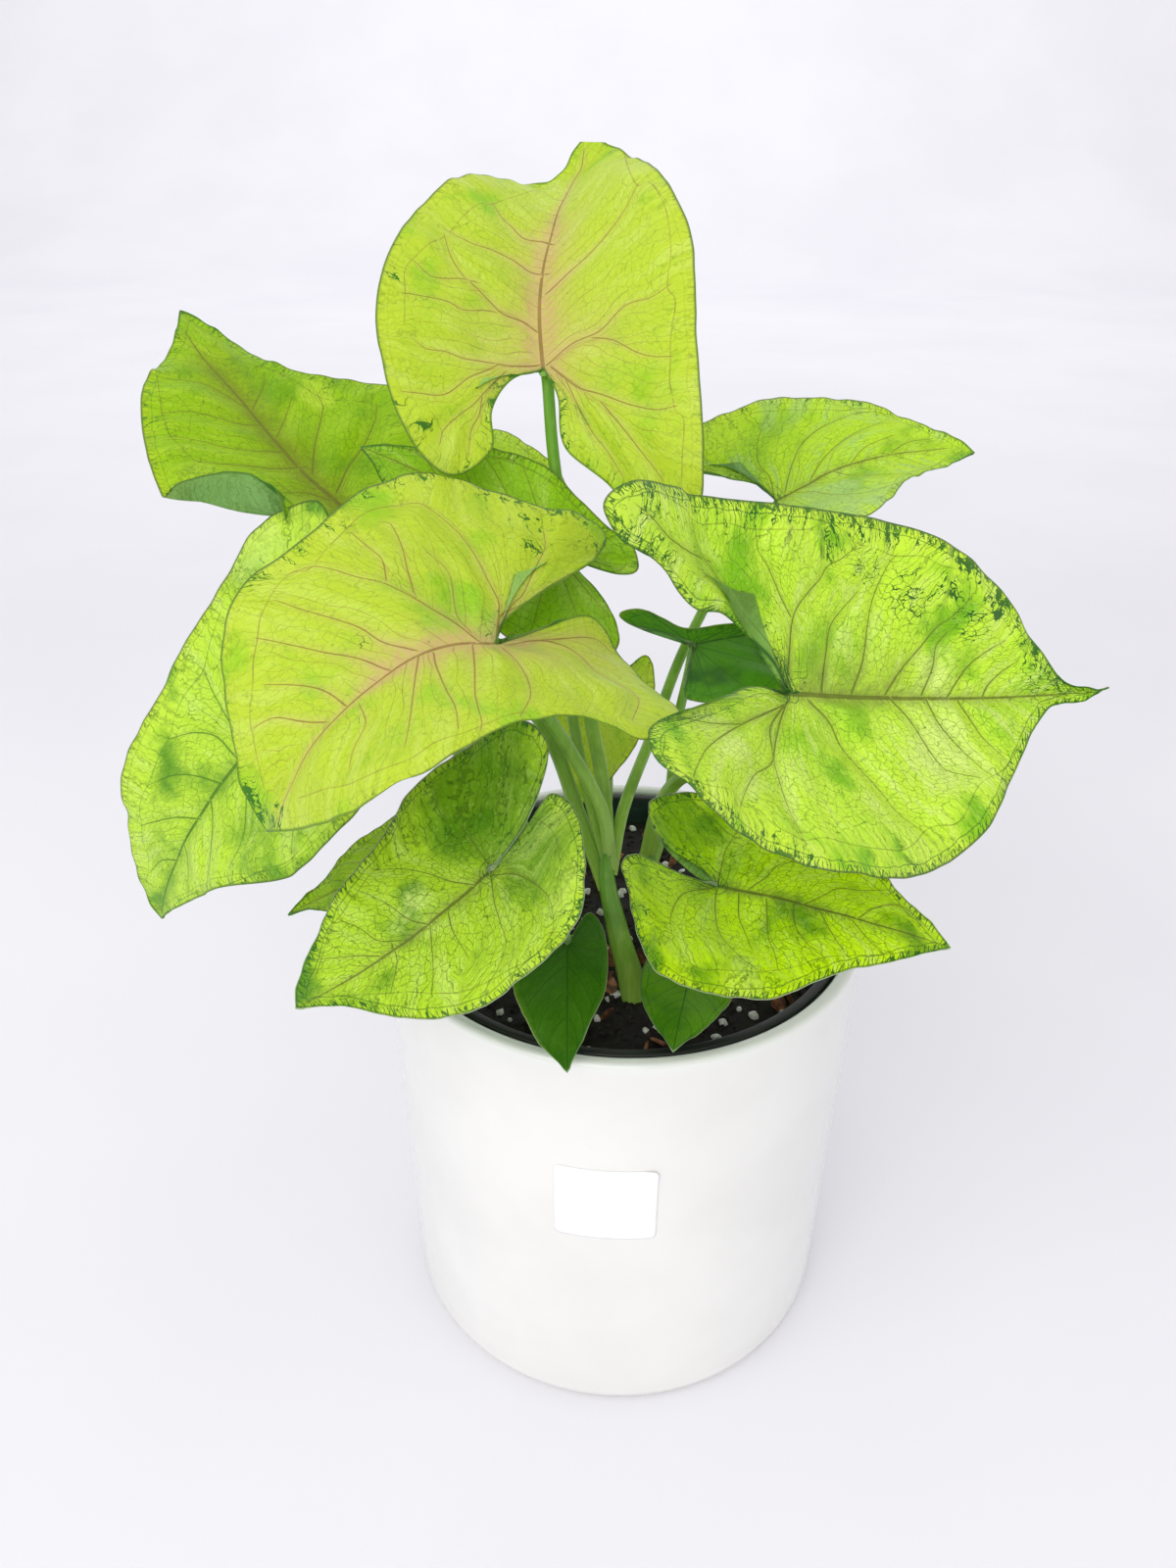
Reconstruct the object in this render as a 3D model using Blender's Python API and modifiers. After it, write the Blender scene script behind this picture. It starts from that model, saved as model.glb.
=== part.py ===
# Potted arrowhead plant: a white cylinder cover pot, a dark nursery pot inside it, potting soil,
# four clumps of stalks that grow out of the soil, and fifteen arrow-shaped leaf blades.
# Metres, +Z up, origin at the middle of the pot's underside. The front of the plant faces -Y.

import bmesh
import bpy
import numpy as np
from math import cos, pi, radians, sin
from mathutils import Vector

MM = 0.001
GAP = 0.3 * MM
WELD = 0.02 * MM
TURN_STEPS = 48
HOLE_STEPS = 16

# cover pot
POT_RADIUS = 62 * MM
POT_HEIGHT = 123.5 * MM
POT_WALL = 3.6 * MM
POT_TAPER = 2.0 * MM
POT_FLOOR = 5 * MM
POT_FOOT_ROUND = 4.5 * MM
POT_INNER_CHAMFER = 3 * MM
POT_RIM_ROUND = 1.2 * MM

# nursery pot, standing on the cover pot's floor
NURSERY_TOP_RADIUS = 57.6 * MM
NURSERY_FOOT_RADIUS = 46 * MM
NURSERY_WALL = 1.2 * MM
NURSERY_TOP = 122.5 * MM
NURSERY_LIP = 1.4 * MM
NURSERY_LIP_HEIGHT = 6 * MM
DRAIN_HOLES = 6
DRAIN_RADIUS = 4 * MM
DRAIN_RING = 32 * MM

# potting soil
SOIL_TOP = 115 * MM
SOIL_DOME = 1.5 * MM
HOLE_CLEARANCE = 0.5 * MM
PERLITE_GRAINS = 30
PERLITE_SMALL = 1.2 * MM
PERLITE_LARGE = 2.2 * MM
PERLITE_TO_WALL = 4 * MM
PERLITE_TO_STALK = 8.5 * MM
PERLITE_SEED = 7

# leaf blades, on a grid of rows and columns in each half; bend radii are in millimetres, the lobes
# bend about lines that lean from the midrib by LOBE_LEAN degrees, and the rest are shares of the
# blade's length
BLADE_THICKNESS = 0.8 * MM
ROWS = 13
COLUMNS = 3
FOLD_RADIUS = 6
LOBE_RADIUS = 15
LOBE_LEAN = 50
ARCH_START = 0.1
ARCH_REACH = 0.9
BACK_START = -0.02
HEART_START = 0.55
HEART_RISE = 0.2
HEART_FALL = 0.06
BACK_REACH = 0.45
WAVE = 0.015
WAVES = 5

# stalks, as radii in millimetres by the length of the blade they carry
STALK_THIN = 0.65
STALK_GROWTH = 0.0085
STALK_TAPER = 1.4
STALK_NECK = 5
STALK_GAP = 0.8
STALK_STEPS = 3
STALK_RESOLUTION = 2

# Each blade lies in its own flat frame, in millimetres: the stalk joins at (0, 0), the tip is at
# (0, length) and x grows to the blade's own right. right and left list the margin from the tip,
# round the shoulder and the basal lobe, back to the stalk. at is the junction in the plant's frame.
# aim is the midrib's compass direction from +X, lift its rise and roll its turn to the right.
# fold raises the left and right halves, arch bends the tip, back bends both lobes and lobe each one.
# curls turn up a tip, as (point, heading of the line, degrees, radius). hearts are points in deeply
# cut lobes that the grid's rows start from, where rows from the stalk would cross the cut.
LEAVES = {
    "leaf_top": dict(
        at=(-20, 17, 254), aim=94, lift=50, roll=-12, length=70, fold=(30, 18), arch=-43,
        back=-33, bow=10, lobe=(0, 0), curls=[((0, 62), 0, 45, 4)],
        hearts={"left": (-14, -4), "right": (9, -12)},
        right=[(4, 69), (8, 65), (13, 59), (22, 47), (31, 31), (36, 15), (36, -12), (35, -30), (28, -42),
               (14, -27), (4, -18), (3, -7)],
        left=[(-2, 68), (-4, 65), (-8, 62), (-14, 61), (-24, 51), (-33, 28), (-37, 8), (-33, -12),
              (-23, -22), (-13, -18), (-12, -10), (-7, -3)]),
    "leaf_upper_left": dict(
        at=(-62, 16, 218), aim=132, lift=30, roll=-10, length=86, fold=(4, 10), arch=-4,
        back=-10, bow=-4, lobe=(0, 0),
        right=[(5, 70), (12, 51), (25, 39), (34, 24), (34, 4), (27, -14), (15, -19), (5, -6)],
        left=[(-8, 75), (-24, 60), (-33, 42), (-37, 27), (-25, 16), (-16, 2), (-13, -10), (-4, -8)]),
    "leaf_right_back": dict(
        at=(36, 31, 221), aim=4, lift=22, roll=14, length=52, fold=(14, 12), arch=-30,
        back=-5, bow=-4, lobe=(0, 0),
        hearts={"left": (-16, -4), "right": (12, -7)},
        right=[(6, 42), (8, 35), (14, 28), (21, 22), (27, 14), (29, 2), (27, -14), (20, -24), (11, -13),
               (4, -3)],
        left=[(-6, 47), (-16, 37), (-26, 24), (-32, 13), (-35, 0), (-35, -12), (-29, -23), (-17, -13),
              (-8, -3)]),
    "leaf_centre": dict(
        at=(-27, -47, 216), aim=212, lift=7, roll=-8, length=63, fold=(8, 22), arch=-90,
        back=-4, bow=1, lobe=(-16, 0),
        hearts={"right": (17, -11)},
        right=[(11, 54), (30, 38), (35, 22), (44, 7), (45, -9), (37, -25), (32, -41), (25, -37), (18, -26),
               (12, -15), (6, -5)],
        left=[(-15, 52), (-29, 39), (-34, 28), (-29, 10), (-27, -6), (-31, -17), (-22, -32), (-4, -33),
              (8, -28), (4, -12)]),
    "leaf_right_big": dict(
        at=(33, -26, 196), aim=22, lift=-13, roll=40, length=88, fold=(22, 8), arch=8,
        back=10, bow=-3, lobe=(8, 14), curls=[((0, 77), 20, 75, 4)],
        hearts={"left": (-20, -12)},
        right=[(3, 83), (3, 79), (3, 74), (6, 68), (25, 49), (36, 36), (45, 15), (48, -6), (43, -39),
               (36, -56), (25, -55), (10, -28), (0, -10)],
        left=[(-2, 83), (-2, 79), (-4, 75), (-8, 72), (-25, 60), (-36, 42), (-40, 20), (-38, -23),
              (-33, -52), (-26, -61), (-21, -55), (-20, -46), (-16, -38), (-13, -31), (-14, -21),
              (-11, -12), (-6, -4)]),
    "leaf_left_hanging": dict(
        at=(-73, -20, 192), aim=204, lift=-41, roll=-28, length=76, fold=(4, 10), arch=-50,
        back=0, bow=5, lobe=(0, 0),
        right=[(4, 71), (15, 60), (24, 41), (27, 20), (33, -4), (36, -18), (30, -33), (18, -27), (7, -8)],
        left=[(-4, 67), (-16, 45), (-31, 26), (-33, 10), (-30, -14), (-22, -28), (-12, -20), (-4, -6)]),
    "leaf_front_left": dict(
        at=(-30, -50, 166), aim=200, lift=-40, roll=-16, length=51, fold=(6, 8), arch=8,
        back=18, bow=6, lobe=(10, 0),
        right=[(6, 47), (18, 34), (24, 18), (29, 3), (27, -12), (20, -26), (11, -30), (5, -18)],
        left=[(-6, 41), (-22, 25), (-30, 4), (-31, -10), (-26, -21), (-14, -26), (-2, -23), (1, -12)]),
    "leaf_front_right": dict(
        at=(19, -40, 156), aim=-14, lift=-4, roll=14, length=52, fold=(3, 0), arch=-14,
        back=40, bow=-1, lobe=(0, 20),
        right=[(6, 44), (14, 31), (26, 17), (34, 2), (33, -12), (26, -23), (14, -28), (6, -22), (0, -8)],
        left=[(-6, 45), (-17, 32), (-26, 14), (-27, -3), (-22, -15), (-14, -21), (-6, -18), (-4, -6)]),
    "leaf_over_rim": dict(
        at=(-14, -38, 138), aim=271, lift=-16, roll=0, length=31, fold=(16, 16), arch=-16,
        back=8, bow=0, lobe=(0, 0),
        right=[(7, 24), (12, 14), (13, 2), (9, -9), (4, -7)],
        left=[(-4, 23), (-9, 12), (-9, -1), (-6, -8), (-3, -6)]),
    "leaf_small_heart": dict(
        at=(15, -35, 129), aim=257, lift=-4, roll=0, length=25, fold=(14, 14), arch=-10,
        back=-8, bow=0, lobe=(0, 0),
        right=[(4, 21), (9, 15), (11, 6), (9, -4), (5, -7), (2, -4)],
        left=[(-4, 21), (-9, 15), (-12, 6), (-11, -3), (-7, -8), (-3, -5)]),
    "leaf_behind_centre": dict(
        at=(-18, 3, 218), aim=168, lift=30, roll=-34, length=50, fold=(10, 10), arch=-20,
        back=-10, bow=0, lobe=(0, 0),
        right=[(5, 40), (13, 25), (16, 12), (14, 1), (12, -8), (12, -15), (8, -19), (4, -16), (1, -8)],
        left=[(-8, 39), (-19, 25), (-27, 9), (-28, -6), (-22, -20), (-12, -24), (-5, -18), (-1, -8)]),
    "leaf_back_upper": dict(
        at=(-27, 42, 217), aim=168, lift=24, roll=-8, length=38, fold=(12, 12), arch=-25,
        back=-10, bow=0, lobe=(0, 0),
        right=[(9, 33), (17, 26), (22, 17), (22, 6), (17, -5), (11, -9), (6, -7), (2, -3)],
        left=[(-5, 32), (-11, 23), (-15, 12), (-15, 2), (-12, -7), (-8, -9), (-4, -4)]),
    "leaf_back_right": dict(
        at=(16, 14, 190), aim=16, lift=6, roll=26, length=46, fold=(14, 12), arch=-25,
        back=-8, bow=0, lobe=(0, 0),
        right=[(5, 38), (14, 28), (22, 14), (23, 2), (18, -8), (10, -5), (4, -2)],
        left=[(-1, 38), (-3, 24), (-4, 10), (-5, 0), (-9, -5), (-13, -10), (-13, -15), (-9, -13),
              (-5, -6)]),
    "leaf_back_low": dict(
        at=(-5, 36, 166), aim=238, lift=-70, roll=0, length=32, fold=(8, 8), arch=10,
        back=-12, bow=0, lobe=(0, 0),
        right=[(6, 27), (12, 16), (15, 4), (14, -8), (10, -13), (5, -8), (2, -3)],
        left=[(-5, 26), (-11, 16), (-15, 4), (-15, -7), (-10, -13), (-5, -8), (-2, -3)]),
    "leaf_low_left": dict(
        at=(-42, -20, 152), aim=190, lift=-14, roll=-8, length=42, fold=(8, 8), arch=-15,
        back=-8, bow=0, lobe=(0, 0),
        right=[(4, 34), (11, 24), (16, 12), (18, 0), (16, -11), (11, -18), (6, -11), (2, -3)],
        left=[(-4, 34), (-11, 24), (-16, 12), (-18, 0), (-16, -11), (-11, -18), (-6, -11), (-2, -3)]),
}

# Clumps of stalks, in millimetres: root climbs out of the soil, and each stalk leaves it at its
# first point and ends under its own blade. Radii are at the two ends.
CLUMPS = {
    "stalks_main": dict(
        root=[(2, -28, 98), (2, -28, 116), (-2, -27, 133), (-5, -25, 148), (-4, -23, 157)],
        thick=(4.6, 3.6),
        stalks={
            "leaf_right_back": [(-4, -24, 148), (-1, -14, 160), (6, 4, 170), (14, 22, 184), (24, 30, 202),
                                (32, 27, 215)],
            "leaf_centre": [(-4, -24, 150), (-6, -23, 164), (-12, -26, 179), (-18, -32, 193),
                            (-23, -38, 204)],
            "leaf_top": [(-4, -23, 148), (-6, -13, 166), (-9, -4, 179), (-12, 8, 197), (-15, 16, 214),
                         (-18, 19, 235)],
            "leaf_upper_left": [(-5, -24, 144), (-12, -10, 157), (-19, -2, 173), (-32, 6, 189),
                                (-48, 13, 203)],
            "leaf_behind_centre": [(-4, -23, 148), (-10, -8, 163), (-14, -1, 182), (-17, 3, 201)],
        }),
    "stalks_right": dict(
        root=[(8, -3, 98), (8, -3, 116), (7, 1, 130), (6, 3, 140)],
        thick=(3.6, 3.0),
        stalks={
            "leaf_right_big": [(6, 3, 136), (8, 1, 150), (12, -3, 161), (19, -10, 170), (27, -18, 182)],
            "leaf_back_right": [(7, 2, 132), (11, 8, 144), (12, 10, 156), (13, 12, 170), (15, 13, 182)],
            "leaf_front_right": [(8, -3, 118), (11, -12, 131), (15, -24, 143), (18, -34, 151)],
            "leaf_small_heart": [(8, -3, 120), (11, -14, 123), (14, -26, 124)],
        }),
    "stalks_left": dict(
        root=[(-16, -6, 98), (-16, -6, 116), (-17, -5, 127)],
        thick=(3.6, 3.0),
        stalks={
            "leaf_left_hanging": [(-17, -4, 123), (-27, 3, 146), (-42, 5, 165), (-58, -4, 179)],
            "leaf_front_left": [(-16, -6, 120), (-17, -17, 136), (-21, -31, 151), (-26, -43, 161)],
            "leaf_over_rim": [(-16, -7, 116), (-14, -15, 122), (-14, -22, 127)],
            "leaf_low_left": [(-17, -6, 121), (-24, -8, 134), (-34, -14, 145)],
        }),
    "stalks_back": dict(
        root=[(-4, 33, 98), (-4, 33, 116), (-4, 36, 128)],
        thick=(3.4, 2.8),
        stalks={
            "leaf_back_low": [(-4, 35, 123), (-4, 42, 138), (-4, 44, 152), (-5, 41, 161)],
            "leaf_back_upper": [(-4, 35, 124), (-4, 44, 142), (-9, 49, 165), (-17, 49, 188), (-24, 46, 206)],
        }),
}


def spline_through(points, steps):
    # Catmull-Rom curve through the points, straight past both ends
    points = np.array(points, float)
    ends = np.vstack([2 * points[0] - points[1], points, 2 * points[-1] - points[-2]])
    t = np.linspace(0, 1, steps, endpoint=False)[:, None]
    curve = []
    for a, b, c, d in zip(ends, ends[1:], ends[2:], ends[3:]):
        curve.append(b + 0.5 * t * (c - a + t * (2 * a - 5 * b + 4 * c - d + t * (3 * (b - c) + d - a))))
    return np.vstack(curve + [points[-1:]])


def resample(curve, stations):
    # the point at each share of the curve's length
    run = np.concatenate([[0], np.cumsum(np.linalg.norm(np.diff(curve, axis=0), axis=1))])
    return np.column_stack([np.interp(np.array(stations) * run[-1], run, axis) for axis in curve.T])


def bend(points, hinge, heading, degrees, radius):
    # rolls what lies left of the line through hinge round a cylinder, upwards for a positive angle
    if not degrees:
        return points
    across = np.array([-sin(radians(heading)), cos(radians(heading))])
    up = np.sign(degrees)
    reach = (points[:, :2] - hinge) @ across
    height = points[:, 2] * up
    angle = np.clip(reach / radius, 0, abs(radians(degrees)))
    rest = reach - radius * angle
    moved = radius * np.sin(angle) + rest * np.cos(angle) - height * np.sin(angle)
    raised = radius * (1 - np.cos(angle)) + rest * np.sin(angle) + height * np.cos(angle)
    flat = points[:, :2] + np.outer(moved - reach, across)
    return np.column_stack([flat, raised * up])


def blade_axes(leaf):
    # the blade's right, tip and upper directions in the plant's frame
    aim, lift, roll = (radians(leaf[key]) for key in ("aim", "lift", "roll"))
    tip = np.array([cos(lift) * cos(aim), cos(lift) * sin(aim), sin(lift)])
    level = np.array([sin(aim), -cos(aim), 0])
    upper = np.cross(level, tip)
    return level * cos(roll) - upper * sin(roll), tip, level * sin(roll) + upper * cos(roll)


def blade_surface(leaf, flat, height):
    # flat points of the blade, raised by height, bent to shape and set in the plant's frame
    length = leaf["length"]
    points = np.column_stack([flat, height])
    points[:, 0] += leaf["bow"] * (points[:, 1].clip(0) / length) ** 2
    for hinge, heading, degrees, radius in leaf.get("curls", []):
        points = bend(points, hinge, heading, degrees, radius)
    left_lobe, right_lobe = leaf["lobe"]
    points = bend(points, (-1, 0), 90 + LOBE_LEAN, left_lobe, LOBE_RADIUS)
    points = bend(points, (1, 0), 270 - LOBE_LEAN, right_lobe, LOBE_RADIUS)
    left_fold, right_fold = leaf["fold"]
    points = bend(points, (0, 0), -90, right_fold, FOLD_RADIUS)
    points = bend(points, (0, 0), 90, left_fold, FOLD_RADIUS)
    arch, back = leaf["arch"], leaf["back"]
    points = bend(points, (0, ARCH_START * length), 0, arch, ARCH_REACH * length / arc(arch))
    points = bend(points, (0, BACK_START * length), 180, back, BACK_REACH * length / arc(back))
    return np.array(leaf["at"]) + points @ np.array(blade_axes(leaf))


def arc(degrees):
    return max(abs(radians(degrees)), 0.001)


def soft_step(value):
    value = value.clip(0, 1)
    return value * value * (3 - 2 * value)


def half_blade(leaf, side):
    # rows run from the tip to the stalk, where the last one shrinks to a point, columns from the
    # midrib to the margin
    margin = spline_through([(0, leaf["length"])] + leaf[side] + [(0, 0)], 8)
    stations = np.linspace(0, 1, ROWS + 1)
    margin = resample(margin, stations)
    foot = np.column_stack([0 * stations, leaf["length"] * (1 - 2 * stations).clip(0)])
    inside = soft_step((stations - HEART_START) / HEART_RISE) * soft_step((1 - stations) / HEART_FALL)
    foot += inside[:, None] * leaf.get("hearts", {}).get(side, (0, 0))
    share = np.linspace(0, 1, COLUMNS + 1)[None, :, None]
    flat = foot[:, None] * (1 - share) + margin[:, None] * share
    size = WAVE * leaf["length"] * (np.linalg.norm(margin, axis=1) / leaf["length"]).clip(0, 1)
    swell = (size * np.sin(2 * pi * WAVES * stations))[:, None] * share[..., 0] ** 2
    return flat.reshape(-1, 2), swell.ravel()


def new_object(name, mesh, material):
    mesh.materials.clear()
    mesh.materials.append(material)
    piece = bpy.data.objects.new(name, mesh)
    plant.objects.link(piece)
    return piece


def make_blade(name, leaf):
    shape = bmesh.new()
    for side in ("right", "left"):
        flat, height = half_blade(leaf, side)
        corners = [shape.verts.new(Vector(p) * MM) for p in blade_surface(leaf, flat, height)]
        for row in range(ROWS - 1):
            for column in range(COLUMNS):
                a = row * (COLUMNS + 1) + column
                b = a + COLUMNS + 1
                face = [corners[a], corners[b], corners[b + 1], corners[a + 1]]
                shape.faces.new(face if side == "right" else face[::-1])
    bmesh.ops.remove_doubles(shape, verts=shape.verts, dist=WELD)
    bmesh.ops.triangulate(shape, faces=shape.faces)
    mesh = bpy.data.meshes.new(name)
    shape.to_mesh(mesh)
    shape.free()
    mesh.shade_smooth()
    blade = new_object(name, mesh, blade_green)
    skin = blade.modifiers.new("thickness", "SOLIDIFY")
    skin.thickness = BLADE_THICKNESS
    skin.offset = -1
    return blade


def tube(name, points, radii):
    # a closed tube mesh along a smooth path given in millimetres
    path = spline_through(points, STALK_STEPS)
    data = bpy.data.curves.new(name, "CURVE")
    data.dimensions = "3D"
    data.bevel_depth = MM
    data.bevel_resolution = STALK_RESOLUTION
    data.use_fill_caps = True
    line = data.splines.new("POLY")
    line.points.add(len(path) - 1)
    for index, (point, spot) in enumerate(zip(line.points, path)):
        share = index / (len(path) - 1)
        point.co = (*(spot * MM), 1)
        point.radius = radii[0] + (radii[1] - radii[0]) * share
    curve = bpy.data.objects.new(name, data)
    plant.objects.link(curve)
    mesh = evaluated_mesh(curve)
    bpy.data.objects.remove(curve)
    weld(mesh)
    return mesh


def evaluated_mesh(piece):
    graph = bpy.context.evaluated_depsgraph_get()
    return bpy.data.meshes.new_from_object(piece.evaluated_get(graph), depsgraph=graph)


def weld(mesh):
    shape = bmesh.new()
    shape.from_mesh(mesh)
    bmesh.ops.remove_doubles(shape, verts=shape.verts, dist=WELD)
    shape.to_mesh(mesh)
    shape.free()


def boolean(piece, operation, group):
    # applies one exact Boolean of piece with every object in the group, which is then removed
    cut = piece.modifiers.new(operation.lower(), "BOOLEAN")
    cut.operation = operation
    cut.operand_type = "COLLECTION"
    cut.collection = group
    piece.data = evaluated_mesh(piece)
    piece.modifiers.clear()
    for other in list(group.objects):
        bpy.data.objects.remove(other)
    bpy.data.collections.remove(group)


def cutter_group(name):
    group = bpy.data.collections.new(name)
    bpy.context.scene.collection.children.link(group)
    return group


def add_cutter(group, mesh):
    cutter = bpy.data.objects.new(mesh.name, mesh)
    cutter.hide_render = True
    cutter.display_type = "WIRE"
    group.objects.link(cutter)


def stalk_end(leaf):
    # the stalk meets the blade's underside squarely and stops just short of it
    below = -blade_axes(leaf)[2]
    depth = BLADE_THICKNESS / MM + STALK_GAP
    return [tuple(np.array(leaf["at"]) + below * step) for step in (STALK_NECK, depth)]


def make_clump(name, clump):
    mesh = tube(name, clump["root"], clump["thick"])
    piece = new_object(name, mesh, stalk_green)
    group = cutter_group(name + "_stalks")
    for leaf_name, points in clump["stalks"].items():
        leaf = LEAVES[leaf_name]
        thin = STALK_THIN + STALK_GROWTH * leaf["length"]
        add_cutter(group, tube(leaf_name, points + stalk_end(leaf), (STALK_TAPER * thin, thin)))
    boolean(piece, "UNION", group)
    piece.data.shade_smooth()
    return piece


def turned(name, profile, material):
    # profile runs from the axis, down the outer side and back to the axis
    shape = bmesh.new()
    corners = [shape.verts.new((radius, 0, height)) for radius, height in profile]
    for pair in zip(corners, corners[1:]):
        shape.edges.new(pair)
    mesh = bpy.data.meshes.new(name)
    shape.to_mesh(mesh)
    shape.free()
    piece = new_object(name, mesh, material)
    screw = piece.modifiers.new("turn", "SCREW")
    screw.steps = TURN_STEPS
    screw.render_steps = TURN_STEPS
    screw.use_merge_vertices = True
    screw.merge_threshold = WELD
    screw.use_smooth_shade = True
    return piece


def rounded(centre, radius, start, end, steps=4):
    # points of an arc, by its angles from +X in degrees
    turn = np.radians(np.linspace(start, end, steps + 1))
    return [(centre[0] + radius * cos(a), centre[1] + radius * sin(a)) for a in turn]


def make_cover_pot():
    foot = POT_RADIUS - POT_TAPER
    inner = POT_RADIUS - POT_WALL
    rim = POT_RIM_ROUND
    corner = foot - POT_WALL
    chamfer = POT_INNER_CHAMFER
    inside = [(0, POT_FLOOR), (corner - chamfer, POT_FLOOR), (corner, POT_FLOOR + chamfer)]
    lip = rounded((inner + rim, POT_HEIGHT - rim), rim, 180, 90)
    lip += rounded((POT_RADIUS - rim, POT_HEIGHT - rim), rim, 90, 0)
    outer_foot = rounded((foot - POT_FOOT_ROUND, POT_FOOT_ROUND), POT_FOOT_ROUND, 0, -90)
    return turned("cover_pot", inside + lip + outer_foot + [(0, 0)], white_glaze)


def make_nursery_pot():
    foot = NURSERY_FOOT_RADIUS
    base = POT_FLOOR + GAP
    floor = base + NURSERY_WALL
    wall = NURSERY_TOP_RADIUS - NURSERY_LIP
    lip_foot = NURSERY_TOP - NURSERY_LIP_HEIGHT
    profile = [(0, floor), (foot - NURSERY_WALL, floor), (wall - NURSERY_WALL, NURSERY_TOP),
               (NURSERY_TOP_RADIUS, NURSERY_TOP), (NURSERY_TOP_RADIUS, lip_foot), (wall, lip_foot),
               (foot, base), (0, base)]
    piece = turned("nursery_pot", profile, green_plastic)
    piece.data = evaluated_mesh(piece)
    piece.modifiers.clear()
    group = cutter_group("drain_holes")
    for index in range(DRAIN_HOLES):
        turn = 2 * pi * index / DRAIN_HOLES
        spot = (DRAIN_RING * cos(turn), DRAIN_RING * sin(turn), base)
        add_cutter(group, cylinder("drain_hole", DRAIN_RADIUS, 4 * NURSERY_WALL, spot))
    boolean(piece, "DIFFERENCE", group)
    piece.data.set_sharp_from_angle(angle=radians(40))
    return piece


def cylinder(name, radius, depth, spot):
    shape = bmesh.new()
    bmesh.ops.create_cone(shape, cap_ends=True, segments=HOLE_STEPS, radius1=radius, radius2=radius,
                          depth=depth)
    bmesh.ops.translate(shape, verts=shape.verts, vec=spot)
    mesh = bpy.data.meshes.new(name)
    shape.to_mesh(mesh)
    shape.free()
    return mesh


def grain(name, size, spot, dice):
    # a lumpy pebble
    shape = bmesh.new()
    bmesh.ops.create_icosphere(shape, subdivisions=1, radius=size)
    for corner in shape.verts:
        corner.co *= dice.uniform(0.8, 1.15)
    bmesh.ops.translate(shape, verts=shape.verts, vec=spot)
    mesh = bpy.data.meshes.new(name)
    shape.to_mesh(mesh)
    shape.free()
    return mesh


def make_soil():
    base = POT_FLOOR + 2 * GAP + NURSERY_WALL
    wall = NURSERY_TOP_RADIUS - NURSERY_LIP - NURSERY_WALL - GAP
    foot = NURSERY_FOOT_RADIUS - NURSERY_WALL - GAP
    slope = (wall - foot) / (NURSERY_TOP - base)
    edge = foot + slope * (SOIL_TOP - base) - GAP
    dome = [(0, SOIL_TOP + SOIL_DOME), (0.5 * edge, SOIL_TOP + 0.7 * SOIL_DOME), (edge, SOIL_TOP)]
    piece = turned("potting_soil", dome + [(foot - GAP, base), (0, base)], dark_soil)
    piece.data = evaluated_mesh(piece)
    piece.modifiers.clear()
    boolean(piece, "UNION", perlite_group(edge))
    group = cutter_group("stalk_holes")
    for clump in CLUMPS.values():
        x, y, depth = (value * MM for value in clump["root"][0])
        radius = clump["thick"][0] * MM + HOLE_CLEARANCE
        height = POT_HEIGHT - depth
        spot = (x, y, depth + height / 2 - HOLE_CLEARANCE)
        add_cutter(group, cylinder("stalk_hole", radius, height, spot))
    boolean(piece, "DIFFERENCE", group)
    return piece


def perlite_group(edge):
    # grains sit half sunk in the surface, clear of the stalks and the wall
    dice = np.random.default_rng(PERLITE_SEED)
    group = cutter_group("perlite")
    roots = [np.array(clump["root"][0][:2]) * MM for clump in CLUMPS.values()]
    while len(group.objects) < PERLITE_GRAINS:
        reach = (edge - PERLITE_TO_WALL) * dice.uniform() ** 0.5
        turn = dice.uniform(0, 2 * pi)
        spot = np.array([reach * cos(turn), reach * sin(turn)])
        size = dice.uniform(PERLITE_SMALL, PERLITE_LARGE)
        if all(np.linalg.norm(spot - root) > PERLITE_TO_STALK for root in roots):
            add_cutter(group, grain("grain", size, (*spot, SOIL_TOP + 0.3 * SOIL_DOME), dice))
    return group


def surface_material(name, colour, roughness, metallic=0):
    material = bpy.data.materials.new(name)
    material.use_nodes = True
    shader = material.node_tree.nodes["Principled BSDF"]
    shader.inputs["Base Color"].default_value = (*colour, 1)
    shader.inputs["Roughness"].default_value = roughness
    shader.inputs["Metallic"].default_value = metallic
    return material


for leftover in list(bpy.data.objects):
    bpy.data.objects.remove(leftover)

plant = bpy.data.collections.new("arrowhead_plant")
bpy.context.scene.collection.children.link(plant)

white_glaze = surface_material("white_glaze", (0.86, 0.87, 0.88), 0.25)
green_plastic = surface_material("green_plastic", (0.02, 0.05, 0.035), 0.45)
dark_soil = surface_material("dark_soil", (0.02, 0.014, 0.01), 0.95)
stalk_green = surface_material("stalk_green", (0.22, 0.36, 0.06), 0.4)
blade_green = surface_material("blade_green", (0.33, 0.55, 0.05), 0.4)

make_cover_pot()
make_nursery_pot()
make_soil()
for clump_name, clump_shape in CLUMPS.items():
    make_clump(clump_name, clump_shape)
for leaf_name, leaf_shape in LEAVES.items():
    make_blade(leaf_name, leaf_shape)
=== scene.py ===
import math

import bmesh
import bpy
import numpy as np
from mathutils import Matrix, Vector, kdtree, noise


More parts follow.
